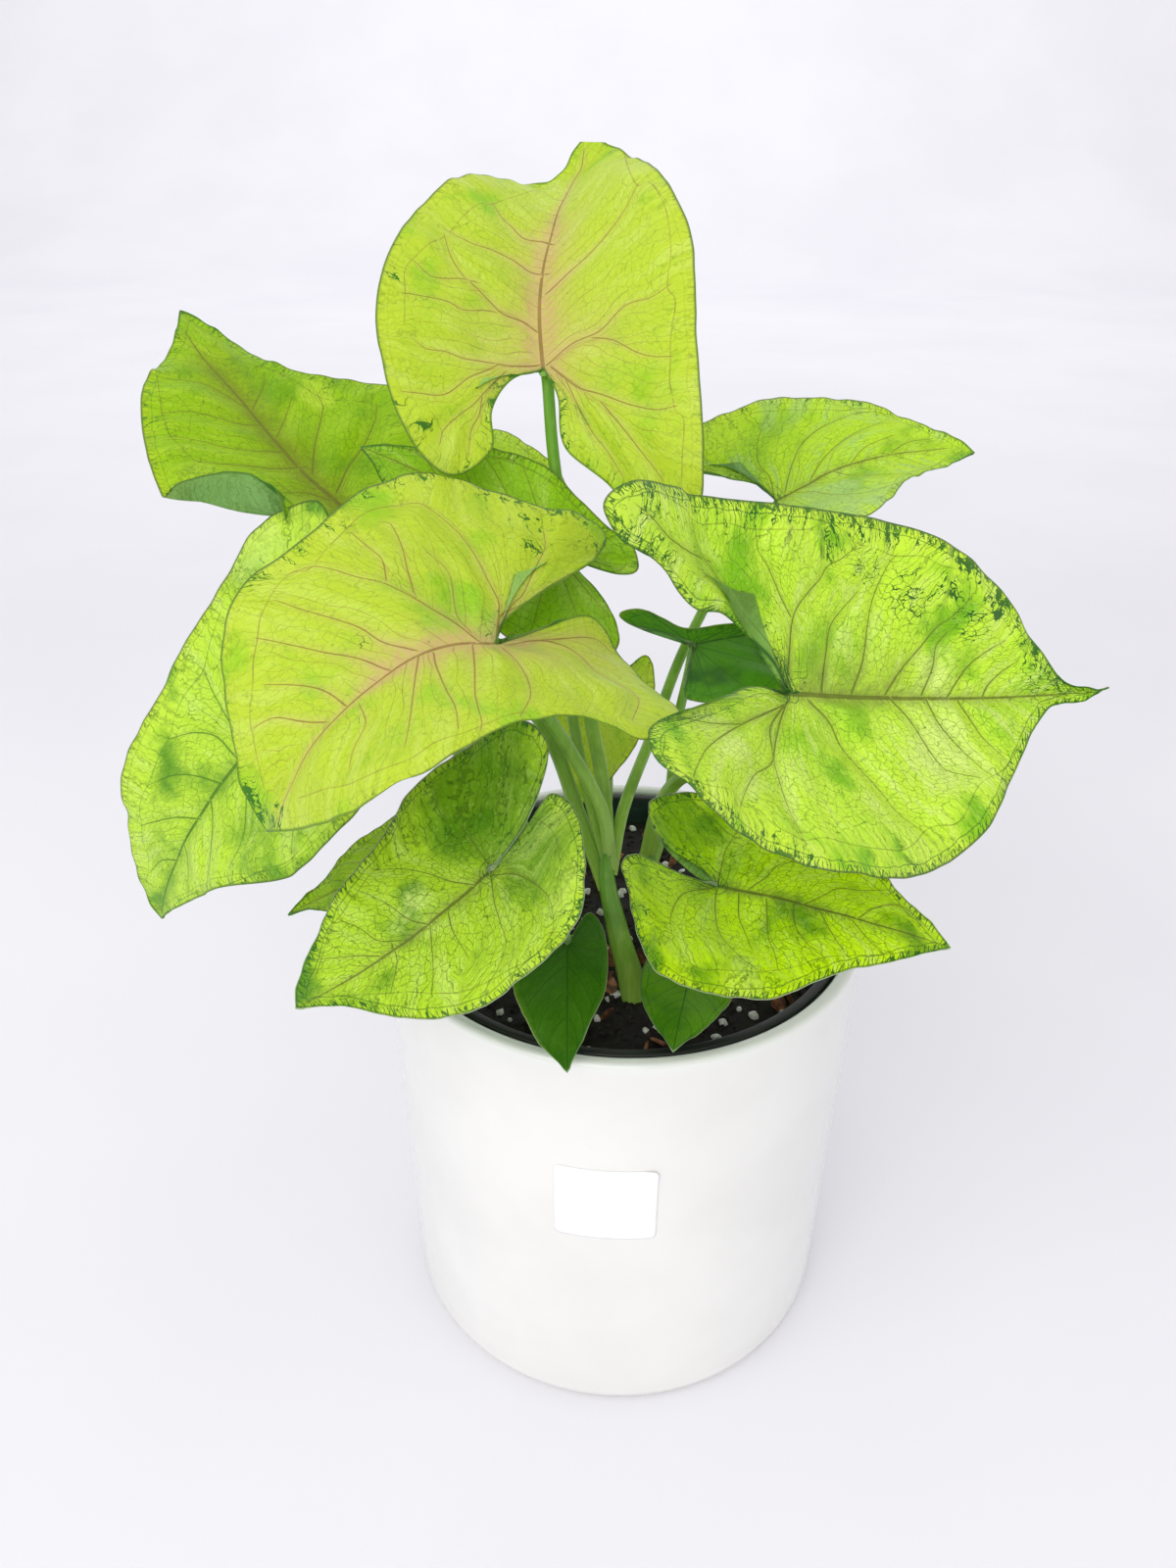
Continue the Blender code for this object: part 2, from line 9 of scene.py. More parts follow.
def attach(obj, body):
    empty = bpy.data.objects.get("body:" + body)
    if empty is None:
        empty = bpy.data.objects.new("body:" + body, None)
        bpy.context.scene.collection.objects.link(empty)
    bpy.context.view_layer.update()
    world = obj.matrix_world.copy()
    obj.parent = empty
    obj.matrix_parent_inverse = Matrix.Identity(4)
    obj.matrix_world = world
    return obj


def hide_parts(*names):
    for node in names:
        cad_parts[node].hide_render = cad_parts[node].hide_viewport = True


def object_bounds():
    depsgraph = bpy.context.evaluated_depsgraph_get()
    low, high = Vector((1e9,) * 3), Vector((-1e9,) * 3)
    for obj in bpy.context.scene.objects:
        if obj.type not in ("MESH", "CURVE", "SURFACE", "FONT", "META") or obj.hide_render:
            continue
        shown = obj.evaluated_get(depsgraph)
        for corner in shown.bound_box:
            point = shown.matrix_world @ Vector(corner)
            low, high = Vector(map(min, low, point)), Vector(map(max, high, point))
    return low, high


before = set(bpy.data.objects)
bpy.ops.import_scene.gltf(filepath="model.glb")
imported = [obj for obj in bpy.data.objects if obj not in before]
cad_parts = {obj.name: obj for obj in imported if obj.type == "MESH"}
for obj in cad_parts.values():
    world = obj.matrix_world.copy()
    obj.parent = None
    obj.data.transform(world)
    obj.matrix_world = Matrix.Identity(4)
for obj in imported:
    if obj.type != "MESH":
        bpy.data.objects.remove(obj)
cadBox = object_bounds()
mm = 0.001
print("frame loaded")


# ---- shader building: a wrapped socket, so that masks read as sums and products

class Wire:
    def __init__(self, tree, socket=None):
        self.tree = tree
        self.socket = socket

    def add(self, kind, settings=None, values=None, out=0):
        node = self.tree.nodes.new(kind)
        for key, value in (settings or {}).items():
            if key == "stops":
                setStops(node.color_ramp, value)
            else:
                setattr(node, key, value)
        for key, value in (values or {}).items():
            if isinstance(value, Wire):
                self.tree.links.new(value.socket, node.inputs[key])
            else:
                node.inputs[key].default_value = value
        return Wire(self.tree, node.outputs[out] if node.outputs else None)

    def math(self, operation, *others):
        return self.add("ShaderNodeMath", {"operation": operation}, dict(enumerate([self, *others])))

    def __add__(self, other):
        return self.math("ADD", other)

    def __mul__(self, other):
        return self.math("MULTIPLY", other)

    def __sub__(self, other):
        return self.math("SUBTRACT", other)

    def __rsub__(self, other):
        return self.add("ShaderNodeMath", {"operation": "SUBTRACT"}, {0: other, 1: self})

    def __truediv__(self, other):
        return self.math("DIVIDE", other)

    __radd__ = __add__
    __rmul__ = __mul__

    def fade(self, low, high):  # smooth step from 0 at low to 1 at high
        values = {"Value": self, "From Min": low, "From Max": high}
        return self.add("ShaderNodeMapRange", {"interpolation_type": "SMOOTHSTEP"}, values)

    def cells(self):  # distance from the lines of a cell pattern, one cell to the unit
        settings = {"feature": "DISTANCE_TO_EDGE", "voronoi_dimensions": "2D"}
        return self.add("ShaderNodeTexVoronoi", settings, {"Vector": self, "Scale": 1.0})

    def mix(self, first, second, kind="MIX"):  # colours, with this wire as the factor
        return self.add("ShaderNodeMix", {"data_type": "RGBA", "blend_type": kind},
                        {0: self, 6: first, 7: second}, out=2)

    def moved(self, operation, other):
        return self.add("ShaderNodeVectorMath", {"operation": operation}, {0: self, 1: other})

    def noise(self, scale, detail=3, roughness=0.55, out=0):
        values = {"Vector": self, "Scale": scale, "Detail": detail, "Roughness": roughness}
        return self.add("ShaderNodeTexNoise", {}, values, out)

    def attribute(self, name, out=2):
        return self.add("ShaderNodeAttribute", {"attribute_name": name}, out=out)


def setStops(ramp, stops):
    while len(ramp.elements) < len(stops):
        ramp.elements.new(0.5)
    for element, (place, colour) in zip(ramp.elements, stops):
        element.position = place
        element.color = colour


def paint(red, green, blue):  # a screen colour, 0 to 255, as the linear one that shaders take
    def linear(value):
        value /= 255
        return value / 12.92 if value < 0.04045 else ((value + 0.055) / 1.055) ** 2.4
    return (linear(red), linear(green), linear(blue), 1)


def startMaterial(name):
    material = bpy.data.materials.new(name)
    material.use_nodes = True
    material.node_tree.nodes.clear()
    return material, Wire(material.node_tree)


def endMaterial(material, shader):
    material.node_tree.links.new(
        shader.socket, shader.add("ShaderNodeOutputMaterial").tree.nodes[-1].inputs[0])
    return material


def surface(w, values):
    return w.add("ShaderNodeBsdfPrincipled", {}, values)


# ---- leaf blades

# Each blade lies in its own flat frame in millimetres, with the stalk at (0, 0) and the tip at
# (0, length). right and left list the margin from the tip back to the stalk. The numbers are the
# frame's own, so a blade here lies where its solid lies. A roll turns a stretch of margin over: (side,
# from share, to share of the margin, where it starts on the way out, degrees up). A flap folds along
# a line instead: (side, from share, to share, point, heading, degrees, radius).
leafShapes = {
    "leaf_top": dict(
        at=(-20, 17, 254), aim=94, lift=50, roll=-12, length=70, fold=(30, 18), arch=-43,
        back=-33, bow=10, lobe=(0, 0), curls=[((0, 62), 0, 45, 4)],
        hearts={"left": (-14, -4), "right": (9, -12)},
        right=[(4, 69), (8, 65), (13, 59), (22, 47), (31, 31), (36, 15), (36, -12), (35, -30), (28, -42),
               (14, -27), (4, -18), (3, -7)],
        left=[(-2, 68), (-4, 65), (-8, 62), (-14, 61), (-24, 51), (-33, 28), (-37, 8), (-33, -12),
              (-23, -22), (-13, -18), (-12, -10), (-7, -3)]),
    "leaf_upper_left": dict(
        at=(-62, 16, 218), aim=132, lift=30, roll=-10, length=86, fold=(4, 10), arch=-4,
        back=-10, bow=-4, lobe=(0, 0),
        flaps=[("left", 0.44, 0.8, (-27, 18), 140, 165, 1.3)],
        right=[(5, 70), (12, 51), (25, 39), (34, 24), (34, 4), (27, -14), (15, -19), (5, -6)],
        left=[(-8, 75), (-24, 60), (-33, 42), (-37, 27), (-37, 15), (-32, 6), (-22, 3), (-16, -3),
              (-13, -10), (-4, -8)]),
    "leaf_right_back": dict(
        at=(36, 31, 221), aim=4, lift=22, roll=14, length=52, fold=(14, 12), arch=-30,
        back=-5, bow=-4, lobe=(0, 0),
        rolls=[("left", 0.7, 0.88, 0.8, 100), ("right", 0.74, 0.93, 0.8, 100)],
        hearts={"left": (-16, -4), "right": (12, -7)},
        right=[(6, 42), (8, 35), (14, 28), (21, 22), (27, 14), (29, 2), (27, -14), (20, -24), (11, -13),
               (4, -3)],
        left=[(-6, 47), (-16, 37), (-26, 24), (-32, 13), (-35, 0), (-35, -12), (-29, -23), (-17, -13),
              (-8, -3)]),
    "leaf_centre": dict(
        at=(-27, -47, 216), aim=212, lift=7, roll=-8, length=63, fold=(8, 22), arch=-90,
        back=-4, bow=1, lobe=(-16, 0),
        hearts={"right": (17, -11)},
        right=[(11, 54), (30, 38), (35, 22), (44, 7), (45, -9), (37, -25), (32, -41), (25, -37), (18, -26),
               (12, -15), (6, -5)],
        left=[(-15, 52), (-29, 39), (-34, 28), (-29, 10), (-27, -6), (-31, -17), (-22, -32), (-4, -33),
              (8, -28), (4, -12)]),
    "leaf_right_big": dict(
        at=(33, -26, 196), aim=22, lift=-13, roll=40, length=88, fold=(22, 8), arch=8,
        back=10, bow=-3, lobe=(8, 14), curls=[((0, 77), 20, 75, 4)],
        hearts={"left": (-20, -12)},
        right=[(3, 83), (3, 79), (3, 74), (6, 68), (25, 49), (36, 36), (45, 15), (48, -6), (43, -39),
               (36, -56), (25, -55), (10, -28), (0, -10)],
        left=[(-2, 83), (-2, 79), (-4, 75), (-8, 72), (-25, 60), (-36, 42), (-40, 20), (-38, -23),
              (-33, -52), (-26, -61), (-21, -55), (-20, -46), (-16, -38), (-13, -31), (-14, -21),
              (-11, -12), (-6, -4)]),
    "leaf_left_hanging": dict(
        at=(-73, -20, 192), aim=204, lift=-41, roll=-28, length=76, fold=(4, 10), arch=-50,
        back=0, bow=5, lobe=(0, 0),
        right=[(4, 71), (15, 60), (24, 41), (27, 20), (33, -4), (36, -18), (30, -33), (18, -27), (7, -8)],
        left=[(-4, 67), (-16, 45), (-31, 26), (-33, 10), (-30, -14), (-22, -28), (-12, -20), (-4, -6)]),
    "leaf_front_left": dict(
        at=(-30, -50, 166), aim=200, lift=-40, roll=-16, length=51, fold=(6, 8), arch=8,
        back=18, bow=6, lobe=(10, 0),
        right=[(6, 47), (18, 34), (24, 18), (29, 3), (27, -12), (20, -26), (11, -30), (4, -26), (1, -14)],
        left=[(-6, 41), (-22, 25), (-30, 4), (-31, -10), (-26, -21), (-14, -26), (-2, -23), (0, -12)]),
    "leaf_front_right": dict(
        at=(19, -40, 156), aim=-14, lift=-4, roll=14, length=52, fold=(3, 0), arch=-14,
        back=40, bow=-1, lobe=(0, 20),
        right=[(6, 44), (14, 31), (26, 17), (34, 2), (33, -12), (26, -23), (14, -28), (6, -22), (0, -8)],
        left=[(-6, 45), (-17, 32), (-26, 14), (-27, -3), (-22, -15), (-14, -21), (-6, -18), (-4, -6)]),
    "leaf_over_rim": dict(
        at=(-14, -38, 138), aim=271, lift=-16, roll=0, length=31, fold=(16, 16), arch=-16,
        back=8, bow=0, lobe=(0, 0),
        right=[(7, 24), (12, 14), (13, 2), (9, -9), (4, -7)],
        left=[(-4, 23), (-9, 12), (-9, -1), (-6, -8), (-3, -6)]),
    "leaf_small_heart": dict(
        at=(15, -35, 129), aim=257, lift=-4, roll=0, length=25, fold=(14, 14), arch=-10,
        back=-8, bow=0, lobe=(0, 0),
        right=[(4, 21), (9, 15), (11, 6), (9, -4), (5, -7), (2, -4)],
        left=[(-4, 21), (-9, 15), (-12, 6), (-11, -3), (-7, -8), (-3, -5)]),
    "leaf_behind_centre": dict(
        at=(-18, 3, 218), aim=168, lift=30, roll=-34, length=50, fold=(10, 10), arch=-20,
        back=-10, bow=0, lobe=(0, 0),
        right=[(5, 40), (13, 25), (16, 12), (14, 1), (12, -8), (12, -15), (8, -19), (4, -16), (1, -8)],
        left=[(-8, 39), (-19, 25), (-27, 9), (-28, -6), (-22, -20), (-12, -24), (-5, -18), (-1, -8)]),
    "leaf_back_upper": dict(
        at=(-27, 42, 217), aim=168, lift=24, roll=-8, length=38, fold=(12, 12), arch=-25,
        back=-10, bow=0, lobe=(0, 0),
        right=[(9, 33), (17, 26), (22, 17), (22, 6), (17, -5), (11, -9), (6, -7), (2, -3)],
        left=[(-5, 32), (-11, 23), (-15, 12), (-15, 2), (-12, -7), (-8, -9), (-4, -4)]),
    "leaf_back_right": dict(
        at=(16, 14, 190), aim=16, lift=6, roll=26, length=46, fold=(14, 12), arch=-25,
        back=-8, bow=0, lobe=(0, 0),
        right=[(5, 38), (14, 28), (22, 14), (23, 2), (18, -8), (10, -5), (4, -2)],
        left=[(-1, 38), (-3, 24), (-4, 10), (-5, 0), (-9, -5), (-13, -10), (-13, -15), (-9, -13),
              (-5, -6)]),
    "leaf_back_low": dict(
        at=(-5, 36, 166), aim=238, lift=-70, roll=0, length=32, fold=(8, 8), arch=10,
        back=-12, bow=0, lobe=(0, 0),
        right=[(6, 27), (12, 16), (15, 4), (14, -8), (10, -13), (5, -8), (2, -3)],
        left=[(-5, 26), (-11, 16), (-15, 4), (-15, -7), (-10, -13), (-5, -8), (-2, -3)]),
    "leaf_low_left": dict(
        at=(-42, -20, 152), aim=190, lift=-14, roll=-8, length=42, fold=(8, 8), arch=-15,
        back=-8, bow=0, lobe=(0, 0),
        right=[(4, 34), (11, 24), (16, 12), (18, 0), (16, -11), (11, -18), (6, -11), (2, -3)],
        left=[(-4, 34), (-11, 24), (-16, 12), (-18, 0), (-16, -11), (-11, -18), (-6, -11), (-2, -3)]),
}

# The veins of the blades that face the viewer, as points in the flat frame. The other blades' veins
# follow from generalVeins.
tracedVeins = {
    "leaf_top": dict(
        right=["1,1 7,4 14,5 20,9 26,9 30,10",
              "12,4 17,2 22,-2 26,-4 30,-5",
              "1,19 6,22 11,25 15,29 19,34 21,39",
              "2,0 8,-6 14,-9 20,-12 26,-14 30,-14",
              "5,-3 8,-10 11,-16 14,-20 17,-25",
              "14,-11 18,-16 22,-21 26,-26"],
        left=["-1,9 -4,11 -9,12 -12,14 -16,17 -19,19 -22,23 -24,28",
             "-9,12 -13,12 -18,11 -22,12 -28,12 -31,12",
             "-16,18 -19,18 -23,17 -26,17 -29,19",
             "0,24 -4,25 -8,27 -13,28 -17,28 -21,29 -24,30",
             "0,33 -3,35 -7,35 -10,37 -13,39 -16,43",
             "-1,1 -7,0 -12,0 -15,0 -18,0 -22,1 -26,1 -28,2",
             "-10,0 -13,-2 -17,-4 -21,-7 -24,-8 -28,-8 -31,-8",
             "-9,-2 -12,-5 -16,-9 -19,-11 -23,-14 -24,-16",
             "-14,-7 -15,-11 -17,-14 -18,-18"],
        rings=["11,64 17,48 21,39 24,38 28,31 30,24 31,16 30,10 32,6 31,0 30,-5 30,-14 32,-17 31,-26",
               "-9,58 -12,50 -16,43 -19,40 -22,33 -24,28 -31,18 -31,12 -31,6"]),
    "leaf_centre": dict(
        right=["1,3 6,6 10,9 13,11 16,13 19,15 22,18 26,21 28,23 29,26",
              "0,0 8,-4 11,-5 17,-5 22,-5 28,-4 32,-2 35,0 37,2 37,7",
              "13,11 20,10 26,9 32,9 33,10",
              "19,14 24,13 28,14 32,15",
              "4,4 8,5 16,3 20,3 24,5",
              "2,-1 9,-7 12,-11 18,-16 24,-21 29,-23",
              "3,-2 7,-4 10,-11 14,-18 18,-25",
              "2,16 6,20 11,22 16,25 21,28 25,30",
              "0,22 5,25 10,29 15,32 22,36",
              "-2,32 3,33 7,35 14,40",
              "-1,37 3,40 8,43 11,47"],
        left=["0,16 -8,20 -14,23 -20,26 -24,28",
             "0,5 -11,10 -20,14 -27,16 -29,17",
             "0,13 -6,15 -15,17 -21,18 -27,20",
             "-3,0 -9,0 -15,1 -21,4 -27,9",
             "-1,-2 1,-9 1,-15 -1,-19 -8,-20 -13,-23 -18,-23 -25,-17",
             "1,-9 2,-17 3,-26 1,-30",
             "-5,30 -11,31 -15,35 -18,37"],
        rings=["37,8 36,12 34,15 28,23 29,26 27,30 24,34 21,37 16,42 12,47 7,50 3,54",
               "-11,48 -18,42 -25,36 -29,30 -29,25 -29,20 -28,15 -26,8"]),
    "leaf_right_big": dict(
        right=["2,5 7,8 13,9 19,12 25,15 29,17 33,22",
              "1,0 11,-8 20,-14 27,-16 33,-17 37,-17 40,-17",
              "3,-2 8,-11 16,-25 25,-39 32,-47 35,-50",
              "14,-22 17,-33 19,-43 22,-50",
              "0,27 5,30 12,32 17,34 19,36 21,43",
              "0,37 7,38 13,41 19,45 20,46",
              "1,46 5,47 11,49 16,53",
              "3,-2 12,-11 21,-15 26,-23 31,-29 36,-34"],
        left=["-1,0 -9,0 -14,0 -18,1 -22,4 -25,7 -28,9 -30,13 -32,16 -33,19",
             "-1,0 -8,-4 -13,-10 -16,-15 -20,-20 -23,-26 -26,-30 -30,-32",
             "-24,-26 -24,-33 -25,-41 -27,-47 -28,-52",
             "-16,0 -21,-4 -26,-8 -29,-11 -33,-12",
             "-1,26 -6,30 -11,35 -16,40 -19,45 -23,50",
             "-1,17 -8,20 -15,21 -20,22 -25,24 -30,27 -32,29",
             "-1,9 -9,10 -15,11 -19,14 -23,18",
             "0,43 -5,47 -8,50 -11,55 -13,60",
             "0,53 -3,55 -6,59 -8,63",
             "-1,36 -7,39 -12,40 -15,43"],
        rings=["-34,17 -33,23 -32,29 -32,36 -30,41 -29,47 -26,49 -23,50 -20,55 -18,60 -14,63 "
               "-11,65 -7,71 -3,74",
               "-30,-54 -32,-49 -32,-37 -31,-32 -33,-21 -33,-15 -34,-5 -35,2 -37,8 -35,16",
               "27,-53 33,-56 36,-52 36,-44 35,-33 39,-27 41,-21 40,-11 41,-3 41,5 39,14 33,24 "
               "32,32 23,42 19,51 12,60"]),
    "leaf_front_left": dict(
        right=["0,4 5,8 10,11 15,15 19,20",
              "0,-1 5,-1 9,-1 13,-1",
              "0,17 4,20 10,22 16,25",
              "1,24 4,28 9,30 14,33",
              "1,30 4,34 8,41"],
        left=["-1,0 -7,2 -13,3 -19,4 -22,7 -23,11",
             "-1,12 -6,13 -11,13 -14,13",
             "-1,17 -6,19 -11,21 -15,23",
             "1,26 -3,27 -9,31",
             "-1,0 -7,-5 -14,-8 -20,-9 -26,-7 -28,-4",
             "0,-1 0,-6 -1,-11"],
        rings=["-1,43 -10,30 -16,23 -20,18 -23,11 -28,1 -27,-7 -24,-12 -18,-17 -11,-19 -3,-17",
               "4,44 13,36 15,31 19,20 18,13"]),
    "leaf_front_right": dict(
        right=["1,0 8,1 14,3 18,7 20,11 20,15",
              "1,5 7,6 11,8 15,10",
              "1,11 6,12 11,13 15,15 18,16",
              "1,17 6,18 10,21 13,25",
              "1,23 6,26 10,29",
              "1,30 5,34 7,37",
              "1,-1 4,-5 9,-8 17,-9 23,-7",
              "1,-2 1,-6 5,-11"],
        left=["0,0 -5,0 -10,0 -15,1",
             "-1,7 -5,10 -9,12 -11,15",
             "0,19 -4,23 -7,26 -8,31 -10,36",
             "0,31 -4,34 -7,39 -6,42 -3,46"],
        rings=["23,-7 28,-1 26,5 20,14 17,20 13,25 9,34 5,43",
               "-13,-18 -21,-15 -20,-7 -15,1 -11,15 -13,26 -7,39 -2,45"]),
    "leaf_upper_left": dict(
        right=["-2,21 2,27 7,33 11,38 12,42",
              "0,13 6,18 13,22 19,27 22,31",
              "-4,45 -1,48 3,52 5,55",
              "-4,34 1,39 6,44"],
        left=["-5,45 -8,53 -11,58 -17,61",
             "-5,39 -9,41 -13,45 -18,49 -24,51",
             "-5,29 -11,32 -16,35 -20,39 -25,43",
             "-3,23 -10,25 -15,28 -21,31 -25,33",
             "-3,11 -7,15 -12,17"],
        rings=["-7,75 -2,64 6,57 12,41 22,31",
               "-18,65 -21,58 -24,51 -26,43 -25,33 -15,27 -10,16"]),
    "leaf_left_hanging": dict(
        right=["0,52 4,56 6,62",
               "0,38 5,42 10,48 13,52",
               "0,27 6,30 11,34 15,40",
               "2,20 8,20 13,23 17,28",
               "1,6 5,15 14,14 20,12",
               "1,0 9,-4 17,-10 24,-18",
               "1,-1 5,-10 11,-18 17,-25"],
        left=["0,46 -4,50 -7,56",
              "0,32 -5,36 -10,42 -13,48",
              "0,20 -5,22 -10,26 -14,31 -16,38",
              "-2,12 -10,14 -20,16 -27,22",
              "-1,2 -10,3 -19,3 -27,0",
              "-1,0 -8,-6 -15,-12 -20,-20"],
        rings=["6,66 8,58 12,54 15,47 16,38 17,32 18,27 20,20 21,12 24,6 28,0",
               "-2,70 -8,56 -14,48 -19,40 -25,30 -29,22 -29,10"]),
    "leaf_right_back": dict(
        right=["-4,28 0,34 4,38",
               "-3,15 2,20 7,27 9,33",
               "-1,4 4,9 9,12 13,18 14,27",
               "1,0 8,1 16,3 23,9",
               "1,-1 7,-6 14,-10 21,-14"],
        left=["-3,30 -6,36 -6,42",
              "-3,20 -7,25 -9,33",
              "-3,10 -8,15 -12,22 -14,31",
              "-2,3 -9,7 -15,12 -18,18 -19,27 -15,37",
              "-2,0 -8,1 -14,0 -21,2 -27,6",
              "-1,-1 -9,-6 -17,-11 -25,-16"],
        rings=["-5,47 -14,39 -19,31 -22,22 -27,12 -31,3",
               "1,44 8,34 13,28 18,22 23,12 25,2"]),
}
ribLines = {  # where a midrib leaves the straight line
    "leaf_top": "0,0 -0.8,12 -1,22 -0.6,35 0,48 0,60 1,67",
    "leaf_centre": "0,0 1,8 0,18 -2,26 -3,35 -4,45 -6,56",
    "leaf_upper_left": "0,0 -2,10 -4,20 -5,35 -5,50 -5,65 -4,76",
    "leaf_right_back": "0,0 -1,8 -2.7,15 -2.7,30 -2,44",
}
generalVeins = [  # (share of the margin where it leaves the midrib, where it ends, how late it curves)
    (0.20, 0.11, 1.5), (0.30, 0.19, 1.4), (0.41, 0.29, 1.2), (0.50, 0.39, 0.9), (0.56, 0.55, 1.0),
    (0.68, 0.68, 1.0), (0.78, 0.80, 1.0)]

bladeBuild = dict(
    rowStep=0.95, columns=34, crowd=0.45,         # mesh spacing, and how far it crowds to rib and margin
    leastRows=40, leastColumns=16,                # on the smallest blades
    thickness=0.5, ribHeight=0.9, ribWidth=0.9,
    wave=0.015, waves=5, ripple=0.3,              # the solid's wave, then finer ripples in millimetres
    quilt=0.9, quiltWidth=3.4,                    # how far the blade swells between its main veins
    threadGap=3.2,                                # between the thin side veins
    foldRadius=6, lobeRadius=15, lobeLean=50,
)


def ease(value):  # smooth step from 0 to 1
    value = np.clip(value, 0, 1)
    return value * value * (3 - 2 * value)


def curveThrough(points, steps):  # Catmull-Rom
    points = np.array(points, float)
    ends = np.vstack([2 * points[0] - points[1], points, 2 * points[-1] - points[-2]])
    t = np.linspace(0, 1, steps, endpoint=False)[:, None]
    curve = []
    for a, b, c, d in zip(ends, ends[1:], ends[2:], ends[3:]):
        curve.append(b + 0.5 * t * (c - a + t * (2 * a - 5 * b + 4 * c - d + t * (3 * (b - c) + d - a))))
    return np.vstack(curve + [points[-1:]])


def lengthAlong(curve):
    return np.concatenate([[0], np.cumsum(np.linalg.norm(np.diff(curve, axis=0), axis=1))])


def resample(curve, stations):
    run = lengthAlong(curve)
    return np.column_stack([np.interp(np.array(stations) * run[-1], run, axis) for axis in curve.T])


def bend(points, hinge, heading, degrees, radius):
    if not np.any(degrees):
        return points
    across = np.array([-math.sin(math.radians(heading)), math.cos(math.radians(heading))])
    up = np.where(np.asarray(degrees) < 0, -1, 1)
    reach = (points[:, :2] - hinge) @ across
    height = points[:, 2] * up
    angle = np.clip(reach / radius, 0, np.abs(np.radians(degrees)))
    rest = reach - radius * angle
    moved = radius * np.sin(angle) + rest * np.cos(angle) - height * np.sin(angle)
    raised = radius * (1 - np.cos(angle)) + rest * np.sin(angle) + height * np.cos(angle)
    return np.column_stack([points[:, :2] + np.outer(moved - reach, across), raised * up])


def bladeAxes(leaf):
    aim, lift, roll = (math.radians(leaf[key]) for key in ("aim", "lift", "roll"))
    tip = np.array([math.cos(lift) * math.cos(aim), math.cos(lift) * math.sin(aim), math.sin(lift)])
    level = np.array([math.sin(aim), -math.cos(aim), 0])
    upper = np.cross(level, tip)
    cosRoll, sinRoll = math.cos(roll), math.sin(roll)
    return level * cosRoll - upper * sinRoll, tip, level * sinRoll + upper * cosRoll


def bladePoints(leaf, points):  # from the flat frame to the plant's, in millimetres
    length = leaf["length"]
    points = points + np.column_stack([leaf["bow"] * (points[:, 1].clip(0) / length) ** 2,
                                       0 * points[:, 0], 0 * points[:, 0]])
    for hinge, heading, degrees, radius in leaf.get("curls", []):
        points = bend(points, hinge, heading, degrees, radius)
    lean, lobeRadius, foldRadius = (bladeBuild[key] for key in ("lobeLean", "lobeRadius", "foldRadius"))
    points = bend(points, (-1, 0), 90 + lean, leaf["lobe"][0], lobeRadius)
    points = bend(points, (1, 0), 270 - lean, leaf["lobe"][1], lobeRadius)
    points = bend(points, (0, 0), -90, leaf["fold"][1], foldRadius)
    points = bend(points, (0, 0), 90, leaf["fold"][0], foldRadius)
    arch, back = leaf["arch"], leaf["back"]
    archArc, backArc = (max(abs(math.radians(angle)), 0.001) for angle in (arch, back))
    points = bend(points, (0, 0.1 * length), 0, arch, 0.9 * length / archArc)
    points = bend(points, (0, -0.02 * length), 180, back, 0.45 * length / backArc)
    return np.array(leaf["at"]) + points @ np.array(bladeAxes(leaf))


def halfOutline(leaf, side):
    return curveThrough([(0, leaf["length"])] + leaf[side] + [(0, 0)], 16)


def placeOn(leaf, side, outline, u, v):  # the flat point at share u of the margin and share v of the way out
    u, v = np.atleast_1d(u), np.atleast_1d(v)
    foot = np.column_stack([0 * u, leaf["length"] * (1 - 2 * u).clip(0)])
    if side in leaf.get("hearts", {}):  # rows of a deeply cut lobe start inside it
        inside = ease((u - 0.55) / 0.2) * ease((1 - u) / 0.06)
        foot += inside[:, None] * leaf["hearts"][side]
    return foot * (1 - v[:, None]) + resample(outline, u) * v[:, None]


def turnMargins(leaf, side, outline, u, v, points):
    # rolls and flaps of one half, before the whole blade is bent
    foot = placeOn(leaf, side, outline, u, 0 * u)
    out = resample(outline, u) - foot
    reach = np.linalg.norm(out, axis=1).clip(1e-6)
    for rollSide, first, last, start, degrees in leaf.get("rolls", []):
        if rollSide == side:
            window = ease((u - first) / 0.035) * ease((last - u) / 0.035)
            turn = (np.radians(abs(degrees)) * window).clip(0.001)
            past = (v - start).clip(0) * reach
            radius = (1 - start) * reach / turn
            inward = radius * np.sin(past / radius) - past
            lift = math.copysign(1, degrees) * radius * (1 - np.cos(past / radius))
            points = points + np.column_stack([out / reach[:, None] * inward[:, None], lift])
    for flapSide, first, last, hinge, heading, degrees, radius in leaf.get("flaps", []):
        if flapSide == side:
            window = ease((u - first) / 0.03) * ease((last - u) / 0.1)
            points = bend(points, hinge, heading, degrees * window, radius)
    return points


def readLine(text):
    return [tuple(map(float, pair.split(","))) for pair in text.split()]


def mainVeins(name, leaf, side):  # side veins as 40 points each, in order from the tip to the sinus
    outline = halfOutline(leaf, side)
    t = np.linspace(0, 1, 40)
    traced = tracedVeins.get(name)
    if traced:
        veins = [resample(curveThrough(readLine(text), 8), t) for text in traced[side]]
        stations = np.linspace(0, 1, 400)
        margin = resample(outline, stations)
        return sorted(veins, key=lambda vein: stations[np.linalg.norm(margin - vein[-1], axis=1).argmin()])
    return [placeOn(leaf, side, outline, start + (end - start) * t ** late, t * 0.84)
            for start, end, late in generalVeins]


def between(veins, gap):
    # lines between neighbouring side veins, each with how far across the fan it lies
    lines, base = [], 0
    for a, b in zip(veins, veins[1:]):
        apart = np.linalg.norm(a - b, axis=1)
        count = max(1, int(round(apart.max() / gap)))
        wide = np.median(apart[12:])
        for k in range(count):
            lines.append((a + (b - a) * k / count, base + wide * k / count, k == 0))
        base += wide
    return lines


